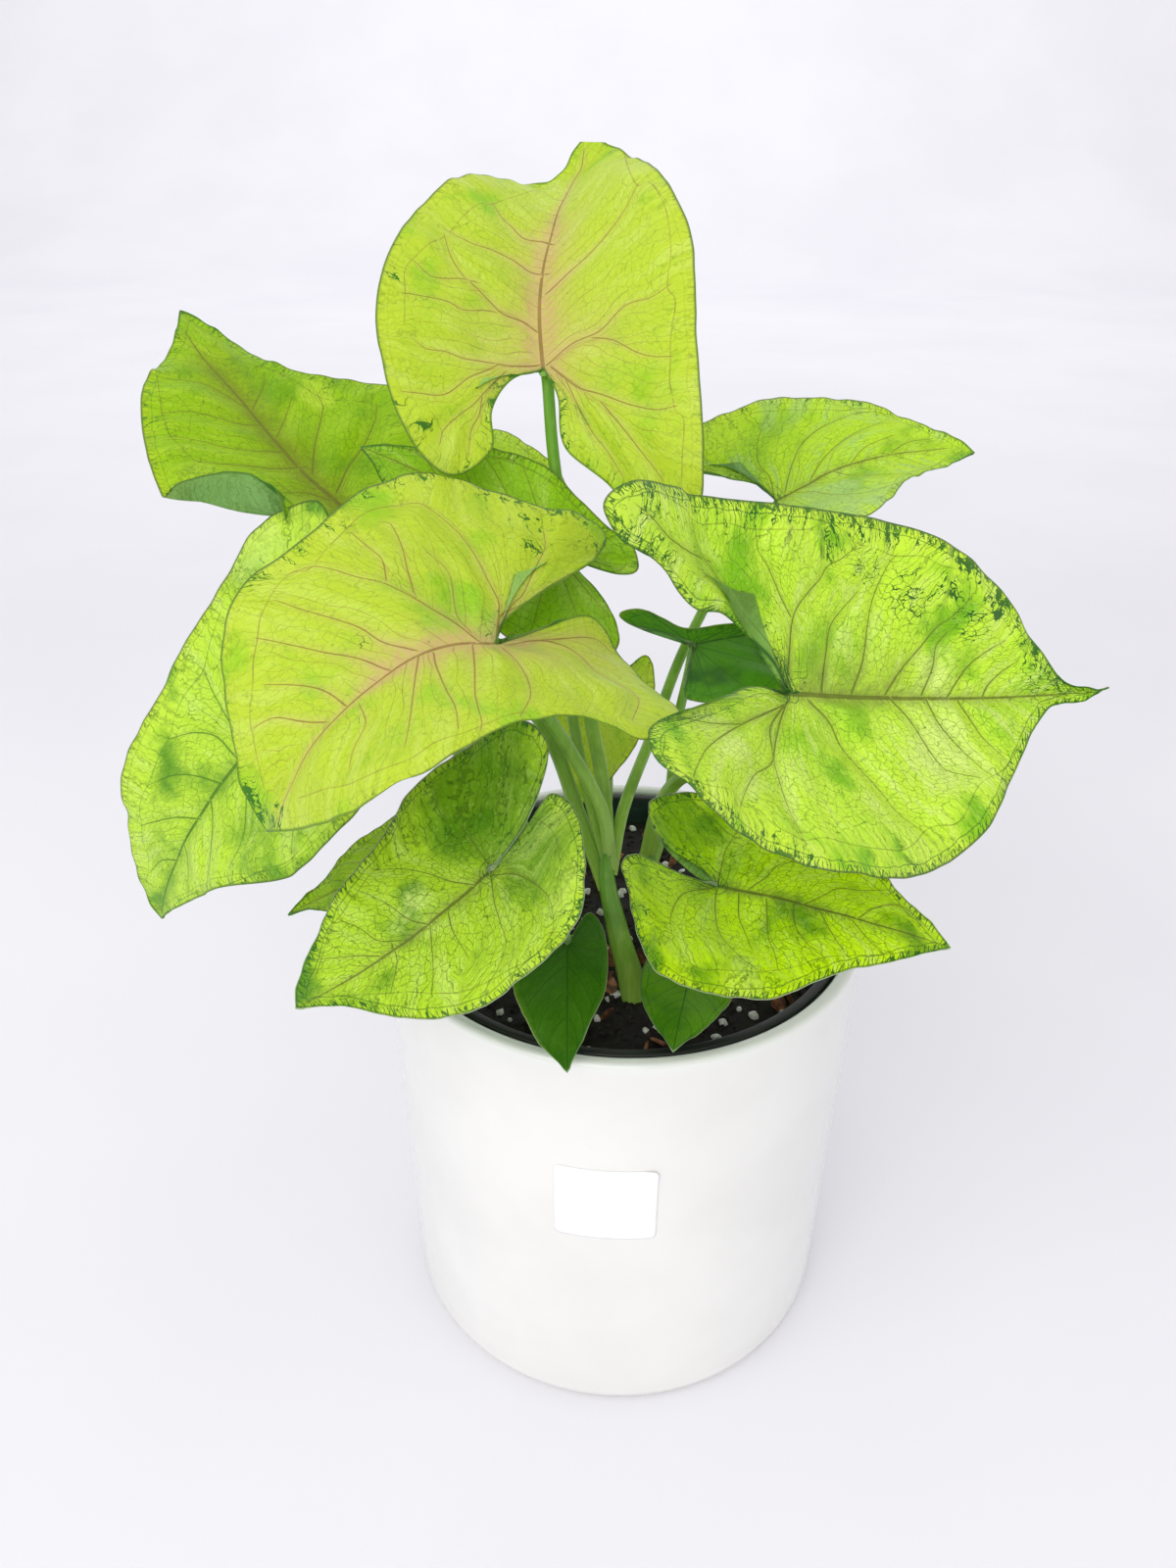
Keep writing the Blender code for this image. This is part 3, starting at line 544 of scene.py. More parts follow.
def halfVeins(name, leaf, side, dice):
    # paths with their first and last half width: the side veins, then the thin ones
    outline = halfOutline(leaf, side)
    size = leaf["length"] / 70
    mains = mainVeins(name, leaf, side)
    thick = []
    for vein in mains:
        strong = 0.2 if abs(vein[0, 0]) < 4 else 0.13
        thick.append((vein, strong * size, 0.05 + 0.03 * size))
    tipVein = np.linspace((0, 0.86 * leaf["length"]), (0, 0.97 * leaf["length"]), 40)
    sinusVein = placeOn(leaf, side, outline, np.linspace(0.99, 0.9, 40), np.linspace(0.3, 0.86, 40))
    fan = [tipVein] + mains + [sinusVein]
    t = np.linspace(0, 1, 40)[:, None]
    thin = []
    for line, _, isMain in between(fan, bladeBuild["threadGap"]):
        if not isMain:
            way = np.gradient(line, axis=0)
            normal = way[:, ::-1] * (1, -1) / np.linalg.norm(way, axis=1)[:, None].clip(1e-6)
            shake = np.sin(t * dice.uniform(7, 13) + dice.uniform(0, 6)) * 0.35
            shake = shake + np.sin(t * dice.uniform(18, 30)) * 0.1
            strong = dice.uniform(0.5, 1.4)
            thin.append((line + normal * shake * np.minimum(1, 6 * t), 0.08 * strong, 0.04 * strong))
    u = np.linspace(0.03, 0.95, 160)
    if name not in tracedVeins:
        loop = 0.85 + 0.02 * np.sin(u * 40) + 0.01 * np.sin(u * 93)
        thin.append((placeOn(leaf, side, outline, u, loop), 0.15, 0.12))
    return thick, thin, fan


def sampled(paths, step=0.5):  # places, directions and widths along paths, and where they end
    spots, ways, wides, ends = [], [], [], []
    for path, first, last in paths:
        count = max(3, int(lengthAlong(path)[-1] / step))
        line = resample(path, np.linspace(0, 1, count))
        way = np.gradient(line, axis=0)
        spots.append(line)
        ways.append(way / np.linalg.norm(way, axis=1)[:, None].clip(1e-9))
        wides.append(np.linspace(first, last, count))
        end = np.zeros(count)
        end[0], end[-1] = -1, 1
        ends.append(end)
    return np.vstack(spots), np.vstack(ways), np.concatenate(wides), np.concatenate(ends)


def searchTree(spots):
    tree = kdtree.KDTree(len(spots))
    for index, (x, y) in enumerate(spots):
        tree.insert((x, y, 0), index)
    tree.balance()
    return tree


def nearestIndex(tree, points):
    return np.array([tree.find((x, y, 0))[1] for x, y in points])


def lineField(paths, centres, corners):
    # for every face, the signed distance of its corners from the vein nearest to the face, and the
    # vein's half width, which fades past its end
    spots, ways, wides, ends = sampled(paths)
    index = nearestIndex(searchTree(spots), centres)
    offset = corners - spots[index][:, None]
    way = ways[index][:, None]
    side = way[..., 0] * offset[..., 1] - way[..., 1] * offset[..., 0]
    past = ((way * offset).sum(-1) * ends[index][:, None]).clip(0)
    return side, wides[index][:, None] * (1 - past / 1.5).clip(0)


def distanceTo(paths, points):  # and the half width there
    spots, _, wides, _ = sampled(paths, 0.4)
    index = nearestIndex(searchTree(spots), points)
    return np.linalg.norm(points - spots[index], axis=1), wides[index]


def fanPlace(fan, points):
    # how far across and along the fan of side veins each point lies, in millimetres
    spots, places = [], []
    for line, across, _ in between(fan, 0.8):
        spots.append(line)
        places.append(np.column_stack([np.full(len(line), across), lengthAlong(line)]))
    places = np.vstack(places)
    tree = searchTree(np.vstack(spots))
    result = []
    for x, y in points:
        near = tree.find_n((x, y, 0), 5)
        weight = np.array([1 / (gap + 0.2) ** 2 for _, _, gap in near])
        result.append(weight @ places[[index for _, index, _ in near]] / weight.sum())
    return np.array(result)


def markAmount(marks, side, u, edge, flat):  # how thick the dark net of tissue is at each point
    amount = 0 * u
    for markSide, first, last, strength, wide in marks["margin"]:
        if markSide in (side, "both"):
            window = ease((u - first) / 0.06 + 0.5) * ease((last - u) / 0.06 + 0.5)
            amount = np.maximum(amount, strength * window * np.exp(-(edge / wide) ** 1.6))
    for x, y, radius, strength in marks["spots"]:
        away = np.linalg.norm(flat - (x, y), axis=1)
        amount = np.maximum(amount, strength * (1 - ease((away - 0.35 * radius) / radius)))
    return amount


def toneAmount(patches, flat):  # the sum of soft round patches
    amount = np.zeros(len(flat))
    for x, y, radius, strength in patches:
        amount += strength * np.exp(-(np.linalg.norm(flat - (x, y), axis=1) / radius) ** 2)
    return amount


def makeBlade(name, leaf):
    build = bladeBuild
    dice = np.random.default_rng(sum(map(ord, name)))
    phase = dice.uniform(0, 6.3, 6)
    length = leaf["length"]
    look = leafLooks[name]
    columns = max(build["leastColumns"], int(build["columns"] * min(1, length / 60)))
    midrib = [(0, -1.0), (0, 0.96 * length)]
    rib = curveThrough(readLine(ribLines[name]), 8) if name in ribLines else np.array(midrib)
    thick, thin, rims = [(rib, look["rib"] * length, 0.12)], [], []
    halves, faces, start = [], [], 0
    for side in ("right", "left"):
        outline = halfOutline(leaf, side)
        sideThick, sideThin, fan = halfVeins(name, leaf, side, dice)
        thick += sideThick
        thin += sideThin
        rims.append((outline, 1, 1))
        total = lengthAlong(outline)[-1]
        rows = max(build["leastRows"], int(total / build["rowStep"]))
        u = np.linspace(0, 1, rows + 1)[:-1]
        t = np.linspace(0, 1, columns + 1)
        v = t - build["crowd"] * np.sin(2 * np.pi * t) / (2 * np.pi)
        uu, vv = (grid.ravel() for grid in np.meshgrid(u, v, indexing="ij"))
        flat = placeOn(leaf, side, outline, uu, vv)
        margin = (np.linalg.norm(resample(outline, uu), axis=1) / length).clip(0, 1)
        wave = build["wave"] * length * margin * np.sin(2 * np.pi * build["waves"] * uu) * vv ** 2
        fine = (np.sin(uu * 61 + phase[0]) + 0.7 * np.sin(uu * 97 + phase[1])
                + 0.6 * np.sin(uu * 151 + phase[2]))
        wave += build["ripple"] * fine * vv ** 5 * (length / 60) * margin * (uu * 12).clip(0, 1)
        halves.append(dict(side=side, outline=outline, u=uu, v=vv, flat=flat, wave=wave, fan=fan,
                           run=uu * total + (300 if side == "left" else 0)))
        row, column = np.meshgrid(np.arange(rows - 1), np.arange(columns), indexing="ij")
        a = (start + row * (columns + 1) + column).ravel()
        b = a + columns + 1
        quads = np.column_stack([a, b, b + 1, a + 1])
        faces.append(quads if side == "right" else quads[:, ::-1])
        start += rows * (columns + 1)
    if name in tracedVeins:
        thin += [(curveThrough(readLine(text), 8), 0.15, 0.13) for text in tracedVeins[name]["rings"]]
    tops = []
    for half in halves:
        flat = half["flat"]
        ribs, wides = distanceTo(thick, flat)
        half["edge"] = edge = distanceTo(rims, flat)[0] * (half["v"] < 1)
        half["glow"] = np.exp(-(ribs / (look["glow"] * wides + 0.1)) ** 2) * (wides / 0.32).clip(0, 1)
        half["mark"] = markAmount(look["marks"], half["side"], half["u"], edge, flat)
        # tone: the blade's own darker and paler patches, with painted shade where leaves above shade it and
        # painted highlight on folds
        half["tone"] = toneAmount(look.get("toneAndPaintedLightPatches", []), flat)
        half["blush"] = toneAmount(look.get("blushes", []), flat).clip(0, 1)
        half["way"] = fanPlace(half["fan"], flat) + (0, 400 if half["side"] == "left" else 0)
        swell = (1 - np.exp(-(ribs / build["quiltWidth"]) ** 2)) * (edge / 6).clip(0, 1)
        lumps = np.array([noise.noise((x * 0.09, y * 0.09, phase[3])) for x, y in flat])
        height = half["wave"] + build["quilt"] * (length / 70) * swell * (1 + 0.8 * lumps)
        height += 0.5 * lumps * (edge / 10).clip(0, 1)
        shape = turnMargins(leaf, half["side"], half["outline"], half["u"], half["v"],
                            np.column_stack([flat, height]))
        tops.append(bladePoints(leaf, shape))
    quads, top = np.vstack(faces), np.vstack(tops)
    flat, share = (np.concatenate([half[key] for half in halves]) for key in ("flat", "v"))
    values = {key: np.concatenate([half[key] for half in halves])
              for key in ("edge", "glow", "mark", "tone", "blush")}
    midrib = distanceTo([(rib, 1, 1)], flat)[0]
    taperRib = (1 - flat[:, 1] / length).clip(0.1, 1)
    ridge = build["ribHeight"] * (length / 80) * taperRib * np.exp(-(midrib / build["ribWidth"]) ** 2)
    depth = build["thickness"] * (1 - share ** 8) + ridge * (share < 1)
    top = np.clip(top, *(np.array(cadBox) / mm))  # the tips keep to the solids' box
    bottom = top - gridNormals(top, quads) * depth[:, None]
    centres = flat[quads].mean(1)
    numbers = {}
    numbers["veinNear"], numbers["veinWide"] = lineField(thick, centres, flat[quads])
    numbers["threadNear"], numbers["threadWide"] = lineField(thin, centres, flat[quads])
    way, run = (np.concatenate([half[key] for half in halves]) for key in ("way", "run"))
    places = {"way": way[quads], "rim": np.column_stack([run, values["edge"]])[quads]}
    return bladeMesh(name, top, bottom, quads, flat, numbers, places, values)


def gridNormals(points, quads):
    # poles are shared by place, so that both halves and all rows there get one normal
    p = points[quads]
    facing = np.cross(p[:, 2] - p[:, 0], p[:, 3] - p[:, 1])
    keys = np.unique(np.round(points, 4), axis=0, return_inverse=True)[1].ravel()
    total = np.zeros((keys.max() + 1, 3))
    for corner in range(4):
        np.add.at(total, keys[quads[:, corner]], facing)
    total = total[keys]
    return total / np.linalg.norm(total, axis=1)[:, None].clip(1e-12)


def bladeMesh(name, top, bottom, quads, flat, numbers, places, values):
    count = len(top)
    faces = np.vstack([quads, quads[:, ::-1] + count])
    mesh = bpy.data.meshes.new(name + "_skin")
    mesh.from_pydata((np.vstack([top, bottom]) * mm).tolist(), [], faces.tolist())
    side = mesh.attributes.new("under", "INT", "FACE")
    side.data.foreach_set("value", np.repeat([0, 1], len(quads)).astype(np.int32))
    uvs = mesh.uv_layers.new(name="flat")
    spots = np.vstack([flat[quads].reshape(-1, 2), flat[quads[:, ::-1]].reshape(-1, 2)]) / 200 + 0.5
    uvs.data.foreach_set("uv", spots.ravel().astype(np.float32))
    for key, corner in numbers.items():
        both = np.concatenate([corner.ravel(), corner[:, ::-1].ravel()]).astype(np.float32)
        mesh.attributes.new(key, "FLOAT", "CORNER").data.foreach_set("value", both)
    for key, corner in places.items():
        both = np.vstack([corner.reshape(-1, 2), corner[:, ::-1].reshape(-1, 2)])
        both = np.column_stack([both, 0 * both[:, 0]]).astype(np.float32)
        mesh.attributes.new(key, "FLOAT_VECTOR", "CORNER").data.foreach_set("vector", both.ravel())
    for key, point in values.items():
        both = np.tile(point, 2).astype(np.float32)
        mesh.attributes.new(key, "FLOAT", "POINT").data.foreach_set("value", both)
    shape = bmesh.new()
    shape.from_mesh(mesh)
    bmesh.ops.remove_doubles(shape, verts=shape.verts, dist=0.004 * mm)
    bmesh.ops.dissolve_degenerate(shape, edges=shape.edges, dist=0.002 * mm)
    layer = shape.faces.layers.int["under"]
    for face in shape.faces:
        face.material_index = face[layer]
        face.smooth = True
    shape.to_mesh(mesh)
    shape.free()
    piece = bpy.data.objects.new(name + "_blade", mesh)
    bpy.context.scene.collection.objects.link(piece)
    look = leafLooks[name]
    piece.data.materials.append(bladeMaterial(name + "_upper", look, False, len(name)))
    piece.data.materials.append(bladeMaterial(name + "_under", look, True, len(name)))
    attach(piece, "root")
    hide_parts(name)
    return piece


# Colours are screen values. marks says where dark green tissue shows: along the margin as (side,
# from share, to share, strength, width), and in spots as (x, y, radius, strength).
# toneAndPaintedLightPatches lists soft patches as (x, y, radius, strength): above 0 darker, below 0 paler.
# They hold the blade's own mottling, and also painted shade where other leaves shade a blade and painted
# highlight where a fold catches light.
youngLook = dict(base=(186, 210, 50), pale=(210, 228, 116), deep=(150, 200, 30), vein=(140, 104, 54),
                 halo=(206, 168, 126), glow=8.0, blush=0.7, rib=0.0065, net=(38, 104, 30), cell=0.3,
                 streak=0.35, teeth=0.2, flecks=0.4, rim=(64, 116, 30), paleEdge=0.0,
                 under=(150, 192, 92), rough=0.4, marks=dict(margin=[("both", 0, 1, 0.3, 2.4)], spots=[]))
brightLook = dict(base=(200, 240, 60), pale=(222, 244, 134), deep=(130, 192, 20), vein=(96, 104, 30),
                  halo=(136, 150, 66), glow=6.0, blush=0.6, rib=0.0075, net=(22, 90, 34), cell=0.55,
                  streak=0.6, teeth=0.9, flecks=0.7, rim=(36, 92, 30), paleEdge=0.0,
                  under=(124, 170, 72), rough=0.36, marks=dict(margin=[("both", 0, 1, 0.5, 3.0)], spots=[]))
midLook = dict(base=(190, 228, 40), pale=(210, 236, 112), deep=(134, 186, 20), vein=(110, 108, 34),
               halo=(140, 160, 50), glow=6.0, blush=0.6, rib=0.0075, net=(34, 98, 30), cell=0.45, streak=0.5,
               teeth=0.5, flecks=0.5, rim=(48, 104, 30), paleEdge=0.0, under=(116, 160, 84), rough=0.4,
               marks=dict(margin=[("both", 0, 1, 0.35, 2.4)], spots=[]))
plainLook = dict(base=(72, 128, 20), pale=(104, 156, 50), deep=(48, 104, 12), vein=(40, 84, 14),
                 halo=(70, 124, 26), glow=4.0, blush=0.3, rib=0.0075, net=(30, 84, 20), cell=0.2, streak=0.2,
                 teeth=0.1, flecks=0.1, rim=(60, 108, 40), paleEdge=0.35, under=(96, 146, 72), rough=0.3,
                 marks=dict(margin=[("both", 0, 1, 0.1, 2.0)], spots=[]))
leafLooks = {
    "leaf_top": dict(youngLook, toneAndPaintedLightPatches=[(-14, 5, 8, 0.4), (-30, 10, 5, 0.3), (25, -10, 8, 0.4),
                                       (10, -20, 10, 0.4)],
                     blushes=[(0, y, 7, 0.4) for y in range(-4, 44, 6)]
                     + [(12, 4, 9, 0.35), (-12, 4, 8, 0.3)],
                     marks=dict(
        margin=[("both", 0, 1, 0.25, 2.2), ("left", 0.62, 0.98, 0.6, 3.2), ("left", 0.86, 1, 1.1, 3.2),
                ("right", 0.64, 1, 0.5, 3.0), ("right", 0.9, 1, 1.0, 3)],
        spots=[(-34, 15, 2.4, 0.7), (-28, 11, 1.6, 0.5), (-16, 51, 1.6, 0.5), (-21, 33, 1.4, 0.5),
               (-27, -14, 3, 0.6), (11, 60, 2.5, 0.6)])),
    "leaf_centre": dict(youngLook, toneAndPaintedLightPatches=[(-20, 30, 8, 0.5), (28, -5, 6, 0.3), (-15, 5, 8, 0.3)],
                        blushes=[(0, y, 6, 0.4) for y in range(-6, 26, 5)]
                        + [(-5, -8, 6, 0.4), (0, -24, 7, 0.4)],
                        marks=dict(
        margin=[("both", 0, 1, 0.25, 2.2), ("right", 0.24, 0.74, 0.6, 4.5), ("both", 0, 0.07, 1.3, 5)],
        spots=[(24, -18, 3, 0.95), (-5, 56, 4, 0.9), (31, -20, 5, 0.5), (14, -18, 2, 0.6), (30, -33, 4, 0.6),
               (8, 23, 2.5, 0.45), (-9, 32, 1.6, 0.5)])),
    "leaf_right_big": dict(brightLook,
                           toneAndPaintedLightPatches=[(-9, 6, 8, 0.9), (-14, 18, 7, 0.5), (5, 15, 7, 0.8), (14, 35, 12, -0.9),
                                  (-5, 40, 6, -0.8), (8, 54, 8, 0.7), (-4, 68, 8, 0.6), (14, -5, 10, 0.7),
                                  (22, -28, 12, -0.6), (-25, -25, 14, 0.6), (-12, -5, 6, -0.5)],
                           blushes=[(-4, y, 6, 0.35) for y in range(0, 32, 6)], marks=dict(
        margin=[("left", 0, 0.66, 1.0, 5.0), ("left", 0.62, 0.78, 1.0, 6), ("right", 0, 0.5, 0.6, 3.2),
                ("right", 0.5, 0.8, 0.9, 4.2), ("left", 0.78, 0.97, 0.6, 2.2)],
        spots=[(-32, 49, 5, 1.3), (-22, 59, 6, 1.15), (-38, 27, 5, 1.25), (-23, 32, 7, 0.8),
               (-25, 43, 5, 0.85), (-18, 50, 6, 0.8), (-29, 20, 5, 0.75), (-33, 8, 6, 0.7),
               (-5, 70, 7, 0.75), (-30, -50, 6, 0.9)])),
    # leaf_upper_left: the pale patch at (12, 42) is a painted highlight where the margin folds over
    "leaf_upper_left": dict(midLook, base=(148, 190, 0), pale=(190, 218, 60), deep=(118, 168, 0), streak=0.3,
                            halo=(120, 132, 20), toneAndPaintedLightPatches=[(8, 60, 8, 0.6), (20, 30, 8, 0.6), (12, 42, 6, -1)],
                            blushes=[(-5, y, 6, 0.45) for y in range(4, 70, 6)],
                            marks=dict(margin=[("both", 0, 1, 0.42, 3.0)], spots=[(-27, 48, 4, 0.5)])),
    "leaf_right_back": dict(midLook, base=(188, 226, 40), streak=0.6, pale=(170, 206, 118),
                            toneAndPaintedLightPatches=[(-25, 10, 8, 0.8), (-15, -2, 8, 0.8), (12, 12, 15, -0.8)], marks=dict(
        margin=[("left", 0, 1, 0.5, 3.2), ("right", 0, 1, 0.2, 1.6)], spots=[])),
    # leaf_left_hanging: its dark patches are partly the blade's own tone and partly painted shade on the
    # side that lies in shade
    "leaf_left_hanging": dict(midLook, base=(188, 224, 60), pale=(198, 226, 112), deep=(104, 158, 34),
                              cell=0.5, vein=(60, 110, 30), halo=(120, 160, 50), flecks=0.9, streak=0.6,
                              toneAndPaintedLightPatches=[(-15, 28, 9, 0.8), (5, 28, 7, 0.3), (-25, 18, 7, 0.6),
                                     (30, -10, 8, 0.8), (2, 56, 10, 0.5)]),
    # leaf_front_left: the dark patches on and near the lobes are painted shade from leaf_centre above
    "leaf_front_left": dict(brightLook, base=(186, 224, 44), cell=0.6, streak=0.35, paleEdge=0.8, flecks=0.2,
                            rib=0.009, toneAndPaintedLightPatches=[(6, 18, 8, -0.6), (-4, 12, 5, -0.4), (15, -12, 16, 1.3),
                                              (12, -3, 8, 0.8), (-12, -5, 9, 0.5), (-8, -12, 8, 0.5),
                                              (-15, -18, 8, 0.6)], deep=(96, 150, 16),
                            marks=dict(margin=[("both", 0, 1, 0.5, 1.6), ("left", 0.5, 0.85, 0.8, 2.6)],
                                       spots=[(-28, -10, 3, 0.7)])),
    # leaf_front_right: the dark patches round the junction and lobe are painted shade from leaf_right_big
    # above
    "leaf_front_right": dict(brightLook, base=(208, 250, 14), cell=0.55, streak=0.35, paleEdge=0.8,
                             flecks=0.3, rib=0.009,
                             toneAndPaintedLightPatches=[(20, -8, 8, -0.3), (10, 12, 8, -0.3), (-12, -12, 12, 1.0),
                                               (-8, 5, 8, 0.4), (8, -2, 7, 0.5), (0, 40, 8, 0.3)],
                             deep=(110, 164, 10),
                             marks=dict(margin=[("both", 0, 1, 0.5, 1.6), ("both", 0.5, 0.85, 0.8, 2.4)],
                                        spots=[(22, -18, 3, 0.7)])),
    "leaf_over_rim": dict(plainLook, base=(64, 118, 14)),
    "leaf_small_heart": dict(plainLook, base=(100, 154, 24), deep=(70, 128, 14)),
    "leaf_behind_centre": dict(midLook, base=(150, 200, 20)), "leaf_back_upper": midLook,
    # leaf_back_right: its dark green base is painted shade, as the blade lies in shade behind leaf_right_big
    "leaf_back_right": dict(plainLook, base=(84, 150, 14), under=(110, 166, 84), rough=0.4, teeth=0.5),
    "leaf_back_low": dict(youngLook, base=(196, 222, 60), vein=(176, 206, 50), halo=(206, 226, 90),
                          flecks=0.9),
    "leaf_low_left": midLook,
}


def bladeMaterial(name, look, under, seed):
    material, w = startMaterial(name)
    spot = w.add("ShaderNodeUVMap", {"uv_map": "flat"}).moved("MULTIPLY", (200, 200, 200))
    spot = spot.moved("ADD", (seed * 31.7, seed * 17.3, seed * 5.1))
    shake = spot.noise(0.45, 2, out=1).moved("SUBTRACT", (0.5, 0.5, 0.5))
    way = w.attribute("way", out=1).moved("ADD", shake.moved("MULTIPLY", (2.2, 2.2, 0)))
    rim = w.attribute("rim", out=1).moved("ADD", shake.moved("MULTIPLY", (1.2, 1.2, 0)))
    edge, glow, mark = w.attribute("edge"), w.attribute("glow"), w.attribute("mark")
    vein = veinMask(w, "veinNear", "veinWide", 0.07)
    thread = veinMask(w, "threadNear", "threadWide", 0.06)
    cells = way.moved("MULTIPLY", (0.55, 0.46, 1)).cells()
    small = way.moved("MULTIPLY", (1.3, 1.0, 1)).cells()
    clouds, grain = spot.noise(0.06, 3), spot.noise(1.1, 3)
    streaks = way.moved("MULTIPLY", (0.3, 0.05, 1)).noise(1, 3)
    if under:
        base = paint(*look["under"])
        pale = paint(*(min(255, value + 24) for value in look["under"]))
        deep = paint(*(value * 0.8 for value in look["under"]))
        veinColour, haloColour = deep, pale
    else:
        base, pale, deep, veinColour, haloColour = (paint(*look[key]) for key in
                                                    ("base", "pale", "deep", "vein", "halo"))
    # the blade's own tone together with painted shade and painted highlight: patches above 0 darken toward
    # deep, below 0 pale toward pale
    tone = w.attribute("tone") + (spot.noise(0.2, 4, 0.65) - 0.5) * 1.6
    colour = clouds.fade(0.48, 0.3).mix(base, deep)
    colour = (tone.fade(0.1, 1.0) * 0.75).mix(colour, deep)
    colour = ((0 - tone).fade(0.15, 0.9) * 0.8).mix(colour, pale)
    colour = (streaks.fade(0.46, 0.64) * clouds.fade(0.38, 0.6) * look["streak"]).mix(colour, pale)
    colour = (grain.fade(0.5, 0.75) * 0.22).mix(colour, pale)
    cellLine, fineLine = 1 - cells.fade(0.0, 0.1), 1 - small.fade(0.0, 0.17)
    lines = (cellLine * 0.9 + fineLine * 0.5) * look["cell"] * (spot.noise(0.3, 2) * 1.4 + 0.2)
    colour = lines.math("MINIMUM", 0.8).mix(colour, paint(*(value * 0.62 for value in look["deep"])))
    blush = (glow * look["blush"] + w.attribute("blush") * 0.7).math("MINIMUM", 0.85)
    colour = (blush * (grain * 1.3 + 0.15).math("MINIMUM", 1.0)).mix(colour, haloColour)
    colour = (thread * (spot.noise(0.2, 2) * 1.1 - 0.1)).mix(colour, veinColour)
    colour = (vein * (0.55 + spot.noise(0.25, 2) * 0.4)).mix(colour, veinColour)
    if not under:
        colour = addNet(look, spot, rim, edge, mark, cells, small, colour)
    colour = ((1 - edge.fade(0.2, 0.75)) * 0.85).mix(colour, paint(*look["rim"]))
    if look["paleEdge"]:
        colour = ((1 - edge.fade(0.0, 0.3)) * look["paleEdge"]).mix(colour, paint(196, 214, 160))
    height = ((1 - vein) * 0.5 + (1 - thread) * 0.2 + cells.fade(0, 0.25) * 0.2
              + small.fade(0, 0.35) * 0.2 + grain * 0.1)
    if under:
        height = 1 - height
    bump = w.add("ShaderNodeBump", {}, {"Strength": 0.4, "Distance": 0.25 * mm, "Height": height})
    skin = surface(w, {
        "Base Color": colour, "Roughness": grain * 0.16 + (look["rough"] - 0.06 if not under else 0.5),
        "Normal": bump, "Specular IOR Level": 0.18, "Subsurface Weight": 0.25,
        "Subsurface Radius": (0.9, 1.0, 0.3), "Subsurface Scale": 1.4 * mm})
    return endMaterial(material, skin)


def veinMask(w, near, wide, soft):
    gap = w.attribute(near).math("ABSOLUTE") - w.attribute(wide)
    return (1 - gap.fade(-soft, soft)) * w.attribute(wide).fade(0.01, 0.05)


def addNet(look, spot, rim, edge, mark, cells, small, colour):
    # dark green tissue: a net where mark is high, teeth along the margin and stray flecks
    breaks = spot.noise(0.42, 3)
    amount = mark * (breaks.fade(0.32, 0.68) * 1.25 + 0.25)
    net = (amount * 0.1 - cells).fade(0.0, 0.035) + (amount * 0.17 - 0.05 - small).fade(0.0, 0.06) * 0.8
    net = net + (amount - 1.2).fade(0, 0.25)
    teeth = rim.moved("MULTIPLY", (0.75, 0.15, 1)).cells()
    reach = 1 - (edge - rim.noise(0.5, 2) * 2.2).fade(0.4, 1.1)
    teeth = (1 - teeth.fade(0.03, 0.11)) * reach
    inner = (edge - rim.moved("MULTIPLY", (1, 0, 0)).noise(0.12, 2) * 2.6 - 1.1).math("ABSOLUTE")
    inner = 1 - inner.fade(0.08, 0.22)
    flecks = spot.noise(0.75, 2).fade(0.72, 0.76) * look["flecks"]
    mask = (net + teeth * look["teeth"] + inner * look["teeth"] * 0.6 + flecks).math("MINIMUM", 0.92)
    return mask.mix(colour, paint(*look["net"]))


for leafName, leafShape in leafShapes.items():
    makeBlade(leafName, leafShape)
print("blades made")


# ---- stalks: tubes along paths, made with a tree of nodes

